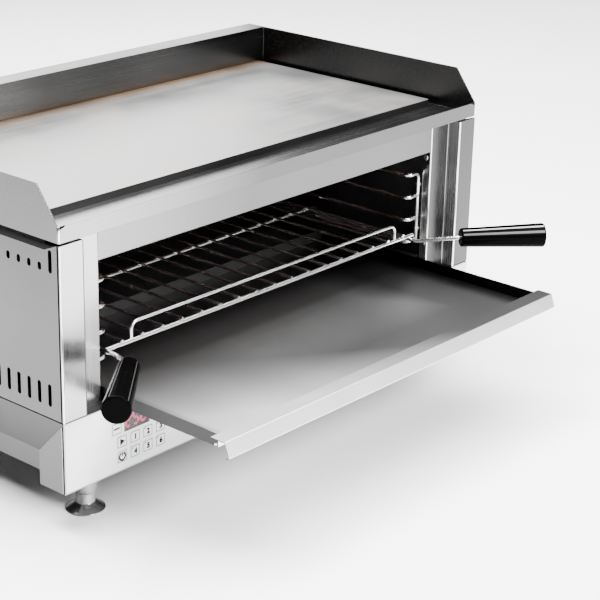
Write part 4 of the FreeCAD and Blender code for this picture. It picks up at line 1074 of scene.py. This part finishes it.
    def digit(self, node: str, text: str, plane: Matrix) -> bpy.types.Object:
        """A printed digit, from the built-in letter outlines.

        Args:
            node: the key's node.
            text: the digit.
            plane: the key's front plane.

        Returns:
            The new object.
        """
        curve = bpy.data.curves.new(node + "_outline", "FONT")
        curve.body = text
        curve.size = self.legend_height
        curve.align_x = "CENTER"
        curve.align_y = "CENTER"
        curve.extrude = self.print_depth / 2
        curve.offset = self.boldness
        helper = add_object(node + "_helper", curve)
        bpy.context.view_layer.update()
        mesh = bpy.data.meshes.new_from_object(helper.evaluated_get(bpy.context.evaluated_depsgraph_get()))
        bpy.data.objects.remove(helper)
        mesh.transform(plane @ Matrix.Translation((*self.digit_shift, self.print_depth / 2)))
        return add_object(node + "_sign", mesh)

    def add_lamp(self, node: str, body: str, finish: bpy.types.Material) -> None:
        """The small round lamp in a number key's corner.

        Args:
            node: the key's node.
            body: the key's body.
            finish: lit or unlit.
        """
        place = self.key_place(node)
        plane = front_plane(place.x + self.lamp_shift[0], place.y, place.z + self.lamp_shift[1])
        lamp = flat_piece(node + "_lamp", [arc(self.lamp_radius, 0, 337.5, 15)], plane, self.print_depth)
        finish_piece(lamp, finish, body)

    def add_digits(self, finish: bpy.types.Material) -> None:
        """Lit seven-bar digits behind the display window.

        Args:
            finish: the lit finish.
        """
        low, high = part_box("display_module")
        width = (high.x - low.x) / len(self.shown)
        half_x, half_z = width * self.segment_reach[0], (high.z - low.z) * self.segment_reach[1]
        bars = {
            "a": [(-half_x, half_z), (half_x, half_z)],
            "b": [(half_x, half_z), (half_x, 0.0)],
            "c": [(half_x, 0.0), (half_x, -half_z)],
            "d": [(-half_x, -half_z), (half_x, -half_z)],
            "e": [(-half_x, 0.0), (-half_x, -half_z)],
            "f": [(-half_x, half_z), (-half_x, 0.0)],
            "g": [(-half_x, 0.0), (half_x, 0.0)],
        }
        for i, lit_bars in enumerate(self.shown):
            plane = front_plane(low.x + width * (i + 0.5), low.y, (low.z + high.z) / 2)
            outlines = [self.bar_outline(bars[name]) for name in lit_bars]
            piece = flat_piece("display_digit_%d" % (i + 1), outlines, plane, self.segment_depth)
            finish_piece(piece, finish, "housing")

    def bar_outline(self, ends: list[Point]) -> list[Point]:
        """A pointed bar of a digit.

        Args:
            ends: its two ends.

        Returns:
            One closed outline.
        """
        a, b = Vector(ends[0]), Vector(ends[1])
        along = (b - a).normalized()
        across = Vector((-along.y, along.x)) * self.segment_width / 2
        a, b = a + along * self.segment_gap, b - along * self.segment_gap
        tip = along * self.segment_width / 2
        corners = (a, a + tip + across, b - tip + across, b, b - tip - across, a + tip - across)
        return [(p.x, p.y) for p in corners]


@dataclass
class WireRack:
    """Sliding rack with its bars, guard wire and grips."""

    def build(self) -> None:
        """Dresses the rack."""
        wire = WireSteel("rack_wire", (0.95, 0.95, 0.95), (0.62, 0.56, 0.5), 0.2).build()
        dress(wire, "rack_rod_left", "rack_rod_right", "rack_cross_wires", "rack_bars", "rack_guard_wire")
        black = (0.001, 0.001, 0.001)
        # Each grip's grey lines are painted highlights.
        dress(GripPlastic("left_grip_black", black, (((-0.52, 0.63, 0.57), 0.022, 0.10),
                                                     ((-0.30, 0.36, 0.88), 0.002, 0.05),
                                                     ((0.49, -0.59, 0.64), 0.002, 0.03))).build(),
              "rack_grip_left")
        dress(GripPlastic("right_grip_black", black, (((-0.27, -0.32, 0.91), 0.004, 0.35),
                                                      ((-0.52, -0.63, 0.58), 0.008, 0.09))).build(),
              "rack_grip_right")


@dataclass
class DripTray:
    """Pull-out tray."""

    overhang: float = 0.010
    lip_depth: float = 0.0255

    def build(self) -> None:
        """Dresses the tray."""
        low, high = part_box("crumb_tray")
        half = high.x - self.overhang
        dress(TraySteel("tray_steel", (0.88, 0.88, 0.88), half, low.y + self.lip_depth, high.y).build(),
              "crumb_tray")


@dataclass
class Feet:
    """Levelling feet."""

    def build(self) -> None:
        """Dresses the feet."""
        # Painted shade on the feet's sideways and upward faces.
        turned = BrushedSteel("turned_steel", (0.8, 0.8, 0.81), Grain.ALONG_X, 0.18, painted_flank_shade=0.14,
                              painted_top_shade=0.25).build()
        dress(turned, "foot_front_left", "foot_front_right", "foot_rear_left", "foot_rear_right")


@dataclass
class SoftLight:
    """One rectangular soft lamp."""

    name: str
    place: Place
    aim: Place
    size: Point
    watts: float

    def build(self) -> None:
        """Adds the lamp."""
        data = bpy.data.lights.new(self.name, "AREA")
        data.shape = "RECTANGLE"
        data.size, data.size_y = self.size
        data.energy = self.watts
        lamp = add_object(self.name, data)
        lamp.location = self.place
        lamp.rotation_mode = "QUATERNION"
        lamp.rotation_quaternion = (Vector(self.aim) - Vector(self.place)).to_track_quat("-Z", "Y")
        log.info("light %s", self.name)


@dataclass
class Studio:
    """Pale floor, soft lights, even surroundings and the camera."""

    yaw: float = 0.8625978
    pitch: float = 0.3657349
    roll: float = 0.0238639
    place: Place = (-1.4369988, -1.3613333, 0.8988898)
    lens: float = 105.622

    def build(self) -> None:
        """Builds the studio."""
        self.add_floor()
        self.add_world()
        for lamp in (
            SoftLight("overhead_light", (-0.5, 0.6, 2.1), (-0.1, 0.0, 0.2), (1.5, 1.0), 220.0),
            SoftLight("ceiling_light", (1.0, -0.5, 3.4), (0.9, -0.4, 0.0), (3.6, 3.2), 620.0),
            SoftLight("front_light", (0.1, -2.6, 1.7), (0.0, -0.2, 0.1), (1.8, 1.0), 200.0),
            SoftLight("rear_light", (1.2, 1.8, 1.25), (-0.1, 0.1, 0.35), (1.2, 1.1), 25.0),
        ):
            lamp.build()
        self.add_camera()

    def add_floor(self) -> None:
        """Adds the floor."""
        mesh = bpy.data.meshes.new("studio_floor")
        work = bmesh.new()
        bmesh.ops.create_grid(work, x_segments=8, y_segments=8, size=14.0)
        work.to_mesh(mesh)
        work.free()
        floor = add_object("studio_floor", mesh)
        mesh.materials.append(FloorPaper("studio_paper", (0.9, 0.9, 0.9)).build())

    def add_world(self) -> None:
        """Adds even pale surroundings."""
        world = bpy.data.worlds.new("studio_world")
        world.use_nodes = True
        back = world.node_tree.nodes["Background"]
        back.inputs["Color"].default_value = (1.0, 1.0, 1.0, 1.0)
        back.inputs["Strength"].default_value = 0.1
        bpy.context.scene.world = world

    def add_camera(self) -> None:
        """Adds the camera at the photograph's viewing angle."""
        level = math.cos(self.pitch)
        forward = Vector((math.sin(self.yaw) * level, math.cos(self.yaw) * level, -math.sin(self.pitch)))
        right = Vector((math.cos(self.yaw), -math.sin(self.yaw), 0.0))
        up = right.cross(forward)
        c, s = math.cos(self.roll), math.sin(self.roll)
        right, up = c * right + s * up, c * up - s * right
        data = bpy.data.cameras.new("photo_camera")
        data.lens = self.lens
        data.sensor_width = 36.0
        data.dof.use_dof = False
        camera = add_object("photo_camera", data)
        turn = Matrix((right, up, -forward)).transposed().to_4x4()
        camera.matrix_world = Matrix.Translation(self.place) @ turn
        bpy.context.scene.camera = camera


def main() -> None:
    """Builds the looks in order."""
    logging.basicConfig(level=logging.INFO, format="%(message)s")
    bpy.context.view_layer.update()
    for assembly in (Casing(), GriddleTop(), GrillCavity(), ControlFront(), WireRack(), DripTray(), Feet(),
                     Studio()):
        assembly.build()
        log.info("built %s", type(assembly).__name__)


if __name__ == "__main__":
    main()
